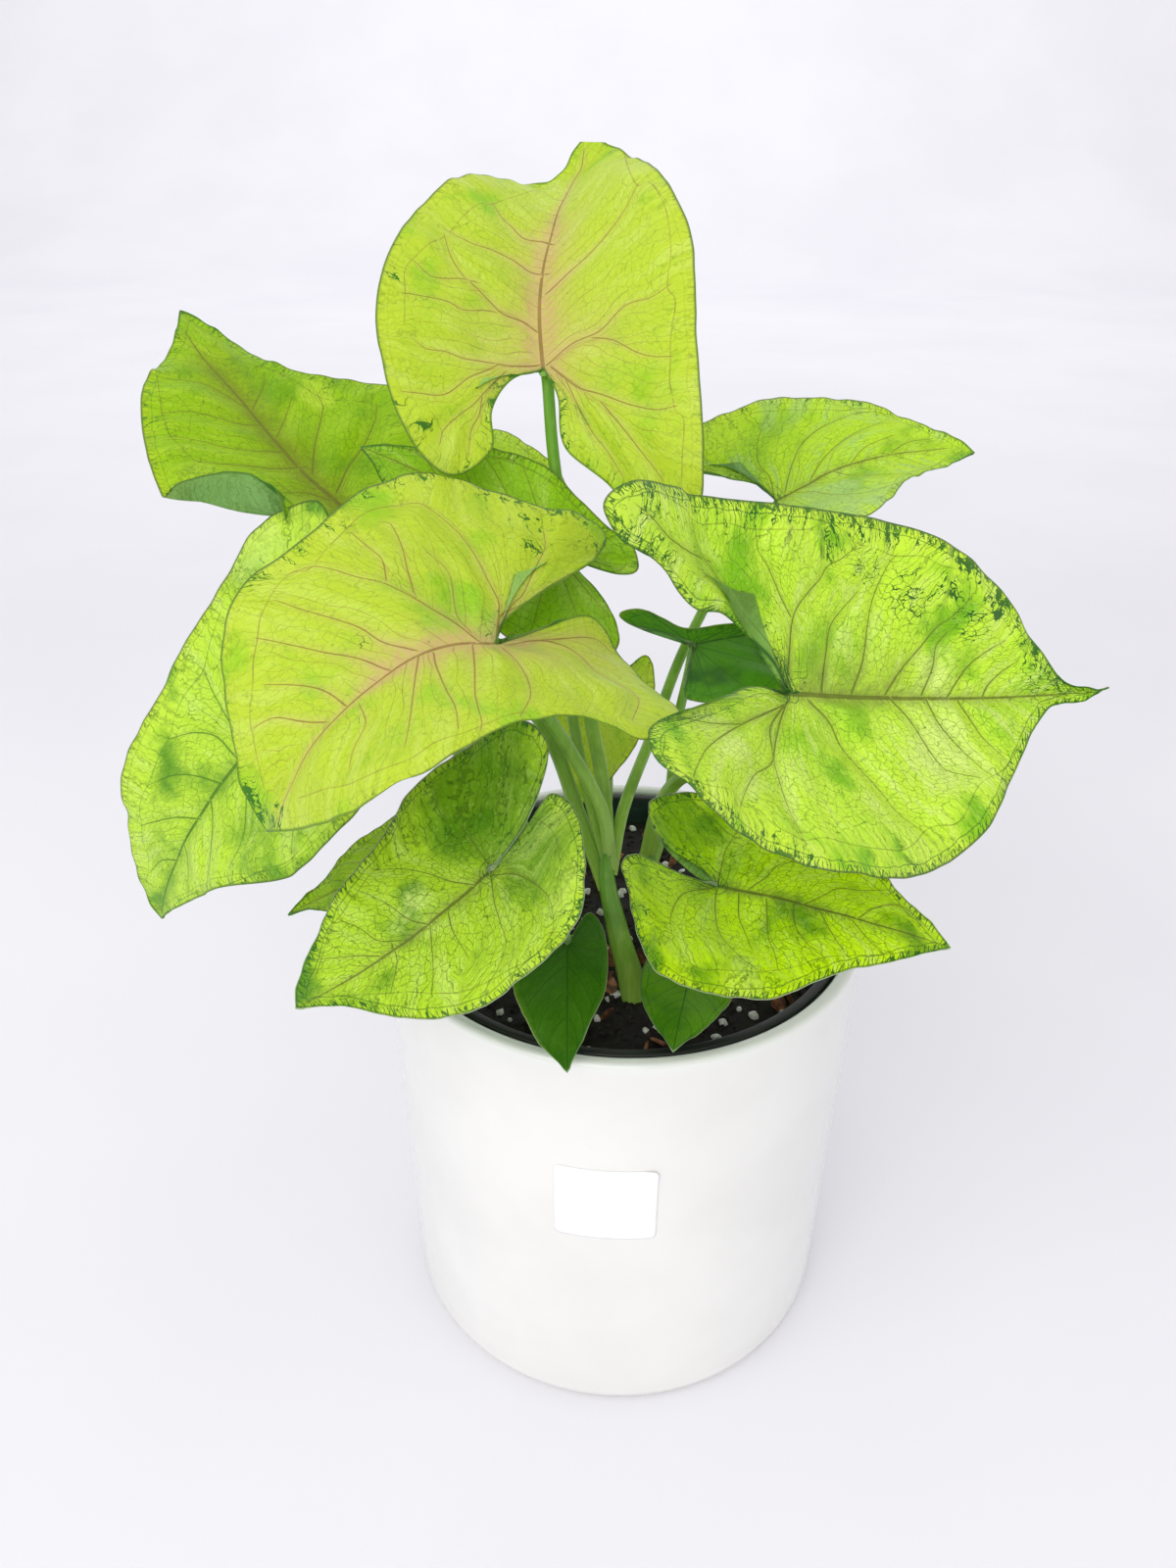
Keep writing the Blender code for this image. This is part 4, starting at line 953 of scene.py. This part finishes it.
stalkClumps = {
    "stalks_main": dict(
        root=[(2, -28, 98), (2, -28, 116), (-2, -27, 133), (-5, -25, 148), (-4, -23, 157)],
        thick=(4.6, 1.2),
        stalks={
            "leaf_right_back": [(-4, -24, 148), (-1, -14, 160), (6, 4, 170), (14, 22, 184), (24, 30, 202),
                                (32, 27, 215)],
            "leaf_centre": [(-4, -24, 150), (-6, -23, 164), (-12, -26, 179), (-18, -32, 193),
                            (-23, -38, 204)],
            "leaf_top": [(-4, -23, 148), (-6, -13, 166), (-9, -4, 179), (-12, 8, 197), (-15, 16, 214),
                         (-18, 19, 235)],
            "leaf_upper_left": [(-5, -24, 144), (-12, -10, 157), (-19, -2, 173), (-32, 6, 189),
                                (-48, 13, 203)],
            "leaf_behind_centre": [(-4, -23, 148), (-10, -8, 163), (-14, -1, 182), (-17, 3, 201)],
        }),
    "stalks_right": dict(
        root=[(8, -3, 98), (8, -3, 116), (7, 1, 130), (6, 3, 140)],
        thick=(3.6, 1.2),
        stalks={
            "leaf_right_big": [(6, 3, 136), (8, 1, 150), (12, -3, 161), (19, -10, 170), (27, -18, 182)],
            "leaf_back_right": [(7, 2, 132), (11, 8, 144), (12, 10, 156), (13, 12, 170), (15, 13, 182)],
            "leaf_front_right": [(8, -3, 118), (11, -12, 131), (15, -24, 143), (18, -34, 151)],
            "leaf_small_heart": [(8, -3, 120), (11, -14, 123), (14, -26, 124)],
        }),
    "stalks_left": dict(
        root=[(-16, -6, 98), (-16, -6, 116), (-17, -5, 127)],
        thick=(3.6, 1.2),
        stalks={
            "leaf_left_hanging": [(-17, -4, 123), (-27, 3, 146), (-42, 5, 165), (-58, -4, 179)],
            "leaf_front_left": [(-16, -6, 120), (-17, -17, 136), (-21, -31, 151), (-26, -43, 161)],
            "leaf_over_rim": [(-16, -7, 116), (-14, -15, 122), (-14, -22, 127)],
            "leaf_low_left": [(-17, -6, 121), (-24, -8, 134), (-34, -14, 145)],
        }),
    "stalks_back": dict(
        root=[(-4, 33, 98), (-4, 33, 116), (-4, 36, 128)],
        thick=(3.4, 1.2),
        stalks={
            "leaf_back_low": [(-4, 35, 123), (-4, 42, 138), (-4, 44, 152), (-5, 41, 161)],
            "leaf_back_upper": [(-4, 35, 124), (-4, 44, 142), (-9, 49, 165), (-17, 49, 188), (-24, 46, 206)],
        }),
}
stalkBuild = dict(thin=0.65, growth=0.0085, taper=1.4, neck=5, steps=9, sides=28, ribs=9, ribDepth=0.05)


def newTree(name, inputs):
    tree = bpy.data.node_groups.new(name, "GeometryNodeTree")
    tree.interface.new_socket("Geometry", in_out="INPUT", socket_type="NodeSocketGeometry")
    tree.interface.new_socket("Geometry", in_out="OUTPUT", socket_type="NodeSocketGeometry")
    for label, kind, value in inputs:
        socket = tree.interface.new_socket(label, in_out="INPUT", socket_type="NodeSocket" + kind)
        if value is not None:
            socket.default_value = value
    return tree, tree.nodes.new("NodeGroupInput")


def treeNode(tree, kind, values=None, **settings):
    node = tree.nodes.new(kind)
    for key, value in settings.items():
        setattr(node, key, value)
    for key, value in (values or {}).items():
        if isinstance(value, bpy.types.NodeSocket):
            tree.links.new(value, node.inputs[key])
        else:
            node.inputs[key].default_value = value
    return node


def treeMath(tree, operation, *values):
    return treeNode(tree, "ShaderNodeMath", dict(enumerate(values)), operation=operation).outputs[0]


def endTree(tree, geometry, material):
    real = treeNode(tree, "GeometryNodeRealizeInstances", {0: geometry})
    coated = treeNode(tree, "GeometryNodeSetMaterial", {0: real.outputs[0], 2: material})
    treeNode(tree, "NodeGroupOutput", {0: coated.outputs[0]})
    return tree


def grow(piece, tree, values):  # runs a tree on a piece and keeps the result as a plain mesh
    modifier = piece.modifiers.new(tree.name, "NODES")
    modifier.node_group = tree
    for item in tree.interface.items_tree:
        if item.in_out == "INPUT" and item.name in values:
            modifier[item.identifier] = values[item.name]
    graph = bpy.context.evaluated_depsgraph_get()
    mesh = bpy.data.meshes.new_from_object(piece.evaluated_get(graph), depsgraph=graph)
    piece.modifiers.clear()
    piece.data = mesh
    return piece


def makeTubeTree():
    tree, given = newTree("stalk tube", [("Sides", "Int", 20), ("Ribs", "Float", 9.0),
                                         ("Rib Depth", "Float", 0.05), ("Skin", "Material", None)])
    path = treeNode(tree, "GeometryNodeMeshToCurve", {0: given.outputs["Geometry"]}).outputs[0]
    ring = treeNode(tree, "GeometryNodeCurvePrimitiveCircle", {
        "Resolution": given.outputs["Sides"], "Radius": 1.0})
    place = treeNode(tree, "GeometryNodeInputPosition").outputs[0]
    parts = treeNode(tree, "ShaderNodeSeparateXYZ", {0: place})
    turn = treeMath(tree, "ARCTAN2", parts.outputs[1], parts.outputs[0])
    ripple = treeMath(tree, "COSINE", treeMath(tree, "MULTIPLY", turn, given.outputs["Ribs"]))
    size = treeMath(tree, "MULTIPLY_ADD", ripple, given.outputs["Rib Depth"], 1.0)
    ribbed = treeNode(tree, "ShaderNodeVectorMath", {0: place, 3: size}, operation="SCALE").outputs[0]
    profile = treeNode(tree, "GeometryNodeSetPosition", {0: ring.outputs[0], 2: ribbed}).outputs[0]
    thick = treeNode(tree, "GeometryNodeInputNamedAttribute", {0: "thick"}).outputs[0]
    tube = treeNode(tree, "GeometryNodeCurveToMesh", {0: path, 1: profile, 2: thick, 3: True}).outputs[0]
    smooth = treeNode(tree, "GeometryNodeSetShadeSmooth", {0: tube}).outputs[0]
    return endTree(tree, smooth, given.outputs["Skin"])


def stalkMaterial():
    material, w = startMaterial("stalk_skin")
    place = w.add("ShaderNodeTexCoord", out=3)
    along = w.attribute("along")
    streaks = place.moved("MULTIPLY", (900, 900, 40)).noise(1, 3)
    clouds = place.noise(60, 3)
    colour = along.fade(0.0, 0.9).mix(paint(152, 192, 74), paint(104, 164, 28))
    colour = (streaks.fade(0.45, 0.7) * 0.35).mix(colour, paint(178, 208, 104))
    colour = (clouds.fade(0.5, 0.3) * 0.5).mix(colour, paint(70, 118, 20))
    height = streaks * 0.6 + clouds * 0.2
    bump = w.add("ShaderNodeBump", {}, {"Strength": 0.4, "Distance": 0.2 * mm, "Height": height})
    skin = surface(w, {
        "Base Color": colour, "Roughness": streaks * 0.15 + 0.32, "Normal": bump,
        "Subsurface Weight": 0.3, "Subsurface Radius": (0.9, 1.0, 0.4), "Subsurface Scale": 2 * mm})
    return endMaterial(material, skin)


def makeStalks(name, clump, tree, skin):
    build = stalkBuild
    spots, links, thick, along = [], [], [], []

    def run(points, first, last):
        path = curveThrough(points, build["steps"])
        start = len(spots)
        share = np.linspace(0, 1, len(path))
        spots.extend((path * mm).tolist())
        links.extend((start + k, start + k + 1) for k in range(len(path) - 1))
        thick.extend(((first + (last - first) * share ** 0.7) * mm).tolist())
        along.extend(share.tolist())

    run(clump["root"], *clump["thick"])
    for leafName, points in clump["stalks"].items():
        leaf = leafShapes[leafName]
        below = -bladeAxes(leaf)[2]
        thin = build["thin"] + build["growth"] * leaf["length"]
        ends = [tuple(np.array(leaf["at"]) + below * step) for step in (build["neck"], 0.5)]
        run(points + ends, build["taper"] * thin, thin)
    mesh = bpy.data.meshes.new(name + "_tubes")
    mesh.from_pydata(spots, links, [])
    mesh.attributes.new("thick", "FLOAT", "POINT").data.foreach_set("value", thick)
    mesh.attributes.new("along", "FLOAT", "POINT").data.foreach_set("value", along)
    piece = bpy.data.objects.new(name + "_tubes", mesh)
    bpy.context.scene.collection.objects.link(piece)
    grow(piece, tree, {"Sides": build["sides"], "Ribs": float(build["ribs"]),
                       "Rib Depth": build["ribDepth"], "Skin": skin})
    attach(piece, "root")
    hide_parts(name)
    return piece


tubeTree = makeTubeTree()
stalkSkin = stalkMaterial()
for clumpName, clumpShape in stalkClumps.items():
    makeStalks(clumpName, clumpShape, tubeTree, stalkSkin)
print("stalks made")


# ---- pots

potBuild = dict(radius=62, height=123.5, wall=3.6, taper=2.0, floor=5, footRound=4.5, rimRound=1.5,
                turns=192)
nurseryBuild = dict(top=57.6, foot=46, wall=1.2, height=122.5, base=5.3, lip=1.4, lipHeight=6, turns=160)


def turnedMesh(name, profile, turns):
    # profile runs from the axis round the outside or inside and back to the axis, in millimetres
    shape = bmesh.new()
    corners = [shape.verts.new((radius * mm, 0, height * mm)) for radius, height in profile]
    for pair in zip(corners, corners[1:]):
        shape.edges.new(pair)
    bmesh.ops.spin(shape, geom=shape.verts[:] + shape.edges[:], cent=(0, 0, 0), axis=(0, 0, 1),
                   angle=2 * math.pi, steps=turns, use_merge=True)
    bmesh.ops.remove_doubles(shape, verts=shape.verts, dist=0.003 * mm)
    bmesh.ops.recalc_face_normals(shape, faces=shape.faces)
    mesh = bpy.data.meshes.new(name)
    shape.to_mesh(mesh)
    shape.free()
    mesh.shade_smooth()
    piece = bpy.data.objects.new(name, mesh)
    bpy.context.scene.collection.objects.link(piece)
    return piece


def arcPoints(centre, radius, start, end, steps=7):
    turn = np.radians(np.linspace(start, end, steps + 1))
    return [(centre[0] + radius * math.cos(a), centre[1] + radius * math.sin(a)) for a in turn]


def spread(start, end, count):  # points along a straight wall, so that shading and detail stay even
    return [(start[0] + (end[0] - start[0]) * k / count, start[1] + (end[1] - start[1]) * k / count)
            for k in range(1, count)]


def coverPot():
    b = potBuild
    foot, inner, rim = b["radius"] - b["taper"], b["radius"] - b["wall"], b["rimRound"]
    corner = foot - b["wall"]
    profile = [(0, b["floor"]), (corner - 6, b["floor"])]
    profile += arcPoints((corner - 4, b["floor"] + 4), 4, -90, 0)
    profile += spread((corner, b["floor"] + 4), (inner, b["height"] - rim), 14)
    profile += arcPoints((inner + rim, b["height"] - rim), rim, 180, 90)
    profile += arcPoints((b["radius"] - rim, b["height"] - rim), rim, 90, 0)
    profile += spread((b["radius"], b["height"] - rim), (foot, b["footRound"]), 18)
    profile += arcPoints((foot - b["footRound"], b["footRound"]), b["footRound"], 0, -90)
    profile += [(foot - 9, 0), (0, 0)]
    piece = turnedMesh("cover_pot_glazed", profile, b["turns"])
    piece.data.materials.append(glazeMaterial())
    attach(piece, "root")
    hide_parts("cover_pot")


def glazeMaterial():
    material, w = startMaterial("white_glaze_coat")
    place = w.add("ShaderNodeTexCoord", out=3)
    clouds = place.noise(22, 3)
    specks = place.noise(420, 2)
    high = place.add("ShaderNodeSeparateXYZ", {}, {0: place}, out=2)
    colour = clouds.fade(0.35, 0.7).mix(paint(234, 233, 230), paint(240, 239, 236))
    colour = (specks.fade(0.72, 0.8) * 0.25).mix(colour, paint(226, 224, 219))
    # painted highlight and reflection: the glossy rounded rim is painted lighter and greener
    paintedRimSheen = high.fade(0.1195, 0.1225)
    colour = (paintedRimSheen * 0.5).mix(colour, paint(236, 240, 234))
    footBand = 1 - high.fade(0.0, 0.004)
    colour = (footBand * 0.6).mix(colour, paint(226, 220, 208))
    wavy = place.noise(45, 2) * 0.7 + specks * 0.05
    bump = w.add("ShaderNodeBump", {}, {"Strength": 0.12, "Distance": 0.6 * mm, "Height": wavy})
    skin = surface(w, {
        "Base Color": colour, "Roughness": clouds * 0.1 + 0.16 + footBand * 0.4, "Normal": bump,
        "Coat Weight": 0.5, "Coat Roughness": 0.06, "Specular IOR Level": 0.5})
    return endMaterial(material, skin)


def nurseryPot():
    b = nurseryBuild
    wallTop, lipFoot = b["top"] - b["lip"], b["height"] - b["lipHeight"]
    profile = [(0, b["base"] + b["wall"]), (b["foot"] - b["wall"], b["base"] + b["wall"])]
    profile += spread(profile[-1], (wallTop - b["wall"], b["height"] - 0.8), 12)
    profile += [(wallTop - b["wall"], b["height"] - 0.8)]
    profile += arcPoints((wallTop - b["wall"] + 0.8, b["height"] - 0.8), 0.8, 180, 90, 4)
    profile += arcPoints((b["top"] - 0.8, b["height"] - 0.8), 0.8, 90, 0, 4)
    profile += [(b["top"], lipFoot + 0.3), (b["top"] - 0.3, lipFoot), (wallTop, lipFoot)]
    profile += spread((wallTop, lipFoot), (b["foot"], b["base"]), 12)
    profile += [(b["foot"], b["base"]), (0, b["base"])]
    piece = turnedMesh("nursery_pot_moulded", profile, b["turns"])
    piece.data.materials.append(plasticMaterial())
    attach(piece, "root")
    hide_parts("nursery_pot")


def plasticMaterial():
    material, w = startMaterial("dark_green_plastic")
    place = w.add("ShaderNodeTexCoord", out=3)
    scuffs = place.moved("MULTIPLY", (1, 1, 6)).noise(160, 4)
    dust = place.noise(40, 4)
    colour = scuffs.fade(0.5, 0.75).mix(paint(28, 52, 44), paint(44, 72, 60))
    colour = (dust.fade(0.6, 0.75) * 0.4).mix(colour, paint(66, 70, 58))
    high = place.add("ShaderNodeSeparateXYZ", {}, {0: place}, out=2)
    colour = high.fade(0.1212, 0.1222).mix(colour, paint(26, 30, 26))  # painted shade: the top of the rim, in the gap inside the cover pot's rim, is darkened nearly to black
    bump = w.add("ShaderNodeBump", {}, {"Strength": 0.3, "Distance": 0.1 * mm, "Height": scuffs})
    skin = surface(w, {"Base Color": colour, "Roughness": scuffs * 0.25 + 0.32, "Normal": bump})
    return endMaterial(material, skin)


labelBuild = dict(left=-17.4, right=7.8, low=67, high=90.5, round=1.5, thickness=0.12, gap=0.04, steps=40)


def blankLabel():  # a paper rectangle with rounded corners, laid round the pot and lifted at one corner
    b = labelBuild
    middle = ((b["left"] + b["right"]) / 2, (b["low"] + b["high"]) / 2)
    half = ((b["right"] - b["left"]) / 2, (b["high"] - b["low"]) / 2)
    count = b["steps"]
    layers = []
    shape = bmesh.new()
    for depth in (b["gap"] + b["thickness"], b["gap"]):
        rows = []
        for high in np.linspace(-1, 1, count + 1):
            row = []
            for wide in np.linspace(-1, 1, count + 1):
                x, z = wide * half[0], high * half[1]
                dx, dz = abs(x) - half[0] + b["round"], abs(z) - half[1] + b["round"]
                if dx > 0 and dz > 0:  # draws the grid's square corner in to the round one
                    pull = b["round"] * max(dx, dz) / b["round"] / math.hypot(dx, dz)
                    x = math.copysign(half[0] - b["round"] + dx * pull, x)
                    z = math.copysign(half[1] - b["round"] + dz * pull, z)
                corner = max(0, x + z - half[0] - half[1] + 5)
                height = middle[1] + z
                radius = potBuild["radius"] - potBuild["taper"] * (1 - height / potBuild["height"])
                radius += depth + 0.03 * corner ** 2
                turn = (middle[0] + x) / potBuild["radius"]
                row.append(shape.verts.new((radius * math.sin(turn) * mm, -radius * math.cos(turn) * mm,
                                            height * mm)))
            rows.append(row)
        layers.append(rows)
    for rows, outer in ((layers[0], True), (layers[1], False)):
        for low, high in zip(rows, rows[1:]):
            for k in range(count):
                face = (low[k], low[k + 1], high[k + 1], high[k])
                shape.faces.new(face if outer else face[::-1])
    front, back = layers
    loops = [[rows[0][k] for k in range(count)] + [rows[k][count] for k in range(count)]
             + [rows[count][count - k] for k in range(count)] + [rows[count - k][0] for k in range(count)]
             for rows in (front, back)]
    for k in range(len(loops[0])):
        n = (k + 1) % len(loops[0])
        shape.faces.new((loops[0][n], loops[0][k], loops[1][k], loops[1][n]))
    mesh = bpy.data.meshes.new("blank_label")
    shape.to_mesh(mesh)
    shape.free()
    mesh.shade_smooth()
    piece = bpy.data.objects.new("blank_label", mesh)
    bpy.context.scene.collection.objects.link(piece)
    material, w = startMaterial("label_paper")
    fibres = w.add("ShaderNodeTexCoord", out=3).noise(900, 3)
    colour = fibres.fade(0.3, 0.7).mix(paint(247, 247, 248), paint(250, 250, 250))
    bump = w.add("ShaderNodeBump", {}, {"Strength": 0.2, "Distance": 0.05 * mm, "Height": fibres})
    skin = surface(w, {"Base Color": colour, "Roughness": 0.62, "Normal": bump, "Specular IOR Level": 0.3})
    piece.data.materials.append(endMaterial(material, skin))
    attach(piece, "root")
    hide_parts("cover_pot")


coverPot()
blankLabel()
nurseryPot()
print("pots made")


# ---- potting soil, with grains scattered over it by a tree of nodes

soilBuild = dict(edge=54.9, base=6.9, footEdge=44.2, top=115, dome=1.5, rings=64, turns=180, rough=1.3)
scatterKinds = dict(
    crumbs=dict(Density=170000.0, Smallest=0.5, Largest=1.7, Flat=0.75, Long=1.2, Seed=3),
    bark=dict(Density=9000.0, Smallest=1.8, Largest=4.6, Flat=0.3, Long=3.0, Seed=11),
    perlite=dict(Density=14000.0, Smallest=1.2, Largest=3.2, Flat=0.85, Long=1.1, Seed=5),
)


def soilBody():
    b = soilBuild
    shape = bmesh.new()
    rings = []
    for ring in range(1, b["rings"] + 1):
        radius = b["edge"] * ring / b["rings"]
        row = []
        for turn in range(b["turns"]):
            a = 2 * math.pi * turn / b["turns"]
            x, y = radius * math.cos(a), radius * math.sin(a)
            calm = min(1, (b["rings"] - ring) / 3)
            lift = b["dome"] * (1 - (ring / b["rings"]) ** 2) - 0.8
            lift += b["rough"] * calm * (noise.fractal((x * 0.12, y * 0.12, 4), 0.9, 2.1, 5))
            row.append(shape.verts.new((x * mm, y * mm, (b["top"] + lift) * mm)))
        rings.append(row)
    centre = shape.verts.new((0, 0, (b["top"] + b["dome"] - 0.8) * mm))
    inset = b["footEdge"] / b["edge"]
    foot = [shape.verts.new((inset * v.co.x, inset * v.co.y, b["base"] * mm)) for v in rings[-1]]
    middle = shape.verts.new((0, 0, b["base"] * mm))
    for k in range(b["turns"]):
        n = (k + 1) % b["turns"]
        shape.faces.new((centre, rings[0][k], rings[0][n]))
        for low, high in zip(rings, rings[1:]):
            shape.faces.new((low[k], high[k], high[n], low[n]))
        shape.faces.new((rings[-1][k], foot[k], foot[n], rings[-1][n]))
        shape.faces.new((middle, foot[n], foot[k]))
    mesh = bpy.data.meshes.new("soil_body")
    shape.to_mesh(mesh)
    shape.free()
    mesh.shade_smooth()
    return mesh


def makeScatterTree():
    tree, given = newTree("soil grains", [
        ("Density", "Float", 1000.0), ("Smallest", "Float", 1.0), ("Largest", "Float", 2.0),
        ("Flat", "Float", 0.8), ("Long", "Float", 1.2), ("Seed", "Int", 1), ("Edge", "Float", 0.05),
        ("Chip", "Material", None)])
    out = given.outputs
    place = treeNode(tree, "GeometryNodeInputPosition").outputs[0]
    parts = treeNode(tree, "ShaderNodeSeparateXYZ", {0: place}).outputs
    reach = treeMath(tree, "SQRT", treeMath(tree, "MULTIPLY_ADD", parts[0], parts[0],
                                            treeMath(tree, "MULTIPLY", parts[1], parts[1])))
    inside = treeMath(tree, "LESS_THAN", reach, out["Edge"])
    high = treeMath(tree, "GREATER_THAN", parts[2], 0.1)
    where = treeMath(tree, "MULTIPLY", inside, high)
    spots = treeNode(tree, "GeometryNodeDistributePointsOnFaces", {
        0: out["Geometry"], 1: where, "Density": out["Density"], "Seed": out["Seed"]})
    ball = treeNode(tree, "GeometryNodeMeshIcoSphere", {"Radius": 0.5 * mm, "Subdivisions": 2}).outputs[0]
    turn = treeNode(tree, "FunctionNodeRandomValue", {0: (0, 0, 0), 1: (6.28, 6.28, 6.28), 8: out["Seed"]},
                    data_type="FLOAT_VECTOR").outputs[0]
    size = treeNode(tree, "FunctionNodeRandomValue", {2: out["Smallest"], 3: out["Largest"], 8: out["Seed"]},
                    data_type="FLOAT").outputs[1]
    stretch = treeNode(tree, "ShaderNodeCombineXYZ", {0: out["Long"], 1: 1.0, 2: out["Flat"]}).outputs[0]
    scale = treeNode(tree, "ShaderNodeVectorMath", {0: stretch, 3: size}, operation="SCALE").outputs[0]
    spin = treeNode(tree, "FunctionNodeEulerToRotation", {0: turn}).outputs[0]
    grains = treeNode(tree, "GeometryNodeInstanceOnPoints", {
        0: spots.outputs[0], 2: ball, "Rotation": spin, "Scale": scale}).outputs[0]
    real = treeNode(tree, "GeometryNodeRealizeInstances", {0: grains}).outputs[0]
    bumps = treeNode(tree, "ShaderNodeTexNoise", {"Vector": place, "Scale": 900.0, "Detail": 2.0}).outputs[1]
    shift = treeNode(tree, "ShaderNodeVectorMath", {0: bumps, 1: (0.5, 0.5, 0.5)},
                     operation="SUBTRACT").outputs[0]
    shift = treeNode(tree, "ShaderNodeVectorMath", {0: shift, 3: 1.3 * mm}, operation="SCALE").outputs[0]
    rough = treeNode(tree, "GeometryNodeSetPosition", {0: real, 3: shift}).outputs[0]
    return endTree(tree, rough, out["Chip"])


def soilMaterial(name, dark, light, scale, rough):
    material, w = startMaterial(name)
    place = w.add("ShaderNodeTexCoord", out=3)
    lumps = place.noise(scale, 5)
    colour = lumps.fade(0.35, 0.7).mix(paint(*dark), paint(*light))
    bump = w.add("ShaderNodeBump", {}, {"Strength": 0.8, "Distance": 0.5 * mm, "Height": lumps})
    skin = surface(w, {"Base Color": colour, "Roughness": lumps * 0.2 + rough, "Normal": bump})
    return endMaterial(material, skin)


def makeSoil():
    body = soilBody()
    ground = bpy.data.objects.new("soil_bed", body)
    bpy.context.scene.collection.objects.link(ground)
    ground.data.materials.append(soilMaterial("soil_dark", (15, 12, 10), (38, 30, 25), 700, 0.75))
    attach(ground, "root")
    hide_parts("potting_soil")
    skins = {
        "crumbs": soilMaterial("soil_crumbs", (15, 12, 10), (52, 40, 32), 500, 0.7),
        "bark": soilMaterial("bark_chips", (84, 50, 30), (172, 116, 76), 400, 0.6),
        "perlite": soilMaterial("perlite_white", (214, 212, 205), (250, 249, 246), 900, 0.7),
    }
    tree = makeScatterTree()
    for kind, values in scatterKinds.items():
        piece = bpy.data.objects.new("soil_" + kind, body.copy())
        bpy.context.scene.collection.objects.link(piece)
        grow(piece, tree, dict(values, Edge=(soilBuild["edge"] - 1.6) * mm, Chip=skins[kind]))
        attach(piece, "root")
        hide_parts("potting_soil")


makeSoil()
print("soil made")


# ---- floor, light and camera

def makeStage():
    shape = bmesh.new()
    outline = [(-1.2, 0)] + [(2.2 + 0.9 * math.sin(a), 0.9 * (1 - math.cos(a)))
                            for a in np.radians(np.linspace(0, 90, 24))] + [(3.1, 3.5)]
    rows = [[shape.verts.new((x, y, z)) for y, z in outline] for x in (-4, 4)]
    for k in range(len(outline) - 1):
        shape.faces.new((rows[0][k], rows[1][k], rows[1][k + 1], rows[0][k + 1]))
    mesh = bpy.data.meshes.new("studio_sweep")
    shape.to_mesh(mesh)
    shape.free()
    mesh.shade_smooth()
    floor = bpy.data.objects.new("studio_sweep", mesh)
    bpy.context.scene.collection.objects.link(floor)
    material, w = startMaterial("sweep_paper")
    place = w.add("ShaderNodeTexCoord", out=3)
    colour = place.noise(3, 3).fade(0.3, 0.7).mix(paint(238, 237, 243), paint(243, 242, 247))
    floor.data.materials.append(endMaterial(material, surface(w, {"Base Color": colour, "Roughness": 0.9})))


def areaLight(name, spot, target, size, power, tint):
    lamp = bpy.data.lights.new(name, "AREA")
    lamp.shape = "RECTANGLE"
    lamp.size, lamp.size_y = size
    lamp.energy = power
    lamp.color = tint
    piece = bpy.data.objects.new(name, lamp)
    piece.location = spot
    piece.rotation_euler = (Vector(target) - Vector(spot)).to_track_quat("-Z", "Y").to_euler()
    bpy.context.scene.collection.objects.link(piece)


def makeLight():
    areaLight("ceiling_soft", (0, 0.1, 1.5), (0, 0, 0.1), (2.2, 2.2), 4.5, (1, 1, 1))
    areaLight("window_left", (-0.9, -0.7, 1.1), (0, 0, 0.15), (0.8, 0.8), 2.5, (1, 1, 1))
    areaLight("front_soft", (-0.3, -1.15, 0.85), (0, 0, 0.15), (1.0, 0.9), 6.5, (1, 1, 1))
    areaLight("backdrop_wash", (0, 1.3, 1.9), (0, 3.0, 1.0), (3.0, 0.6), 19, (1, 1, 1))
    world = bpy.data.worlds.new("pale_room")
    bpy.context.scene.world = world
    world.use_nodes = True
    world.node_tree.nodes["Background"].inputs[0].default_value = (0.995, 0.995, 0.995, 1)
    world.node_tree.nodes["Background"].inputs[1].default_value = 0.7
    bpy.context.scene.view_settings.view_transform = "Standard"


# lens and sensor in millimetres, at and clip in metres, down and roll in degrees
cameraBuild = dict(lens=27, sensor=36, clip=0.01, at=(-0.0095, -0.253, 0.3035), down=29.8, roll=0.4)


def makeCamera():
    b = cameraBuild
    lens = bpy.data.cameras.new("photo_view")
    lens.lens = b["lens"]
    lens.sensor_width = b["sensor"]
    lens.clip_start = b["clip"]
    camera = bpy.data.objects.new("photo_view", lens)
    camera.location = b["at"]
    tilt = Matrix.Rotation(math.radians(90 - b["down"]), 4, "X")
    tilt = tilt @ Matrix.Rotation(math.radians(b["roll"]), 4, "Z")
    camera.rotation_euler = tilt.to_euler()
    bpy.context.scene.collection.objects.link(camera)
    bpy.context.scene.camera = camera


makeStage()
makeLight()
makeCamera()

print("scene done")
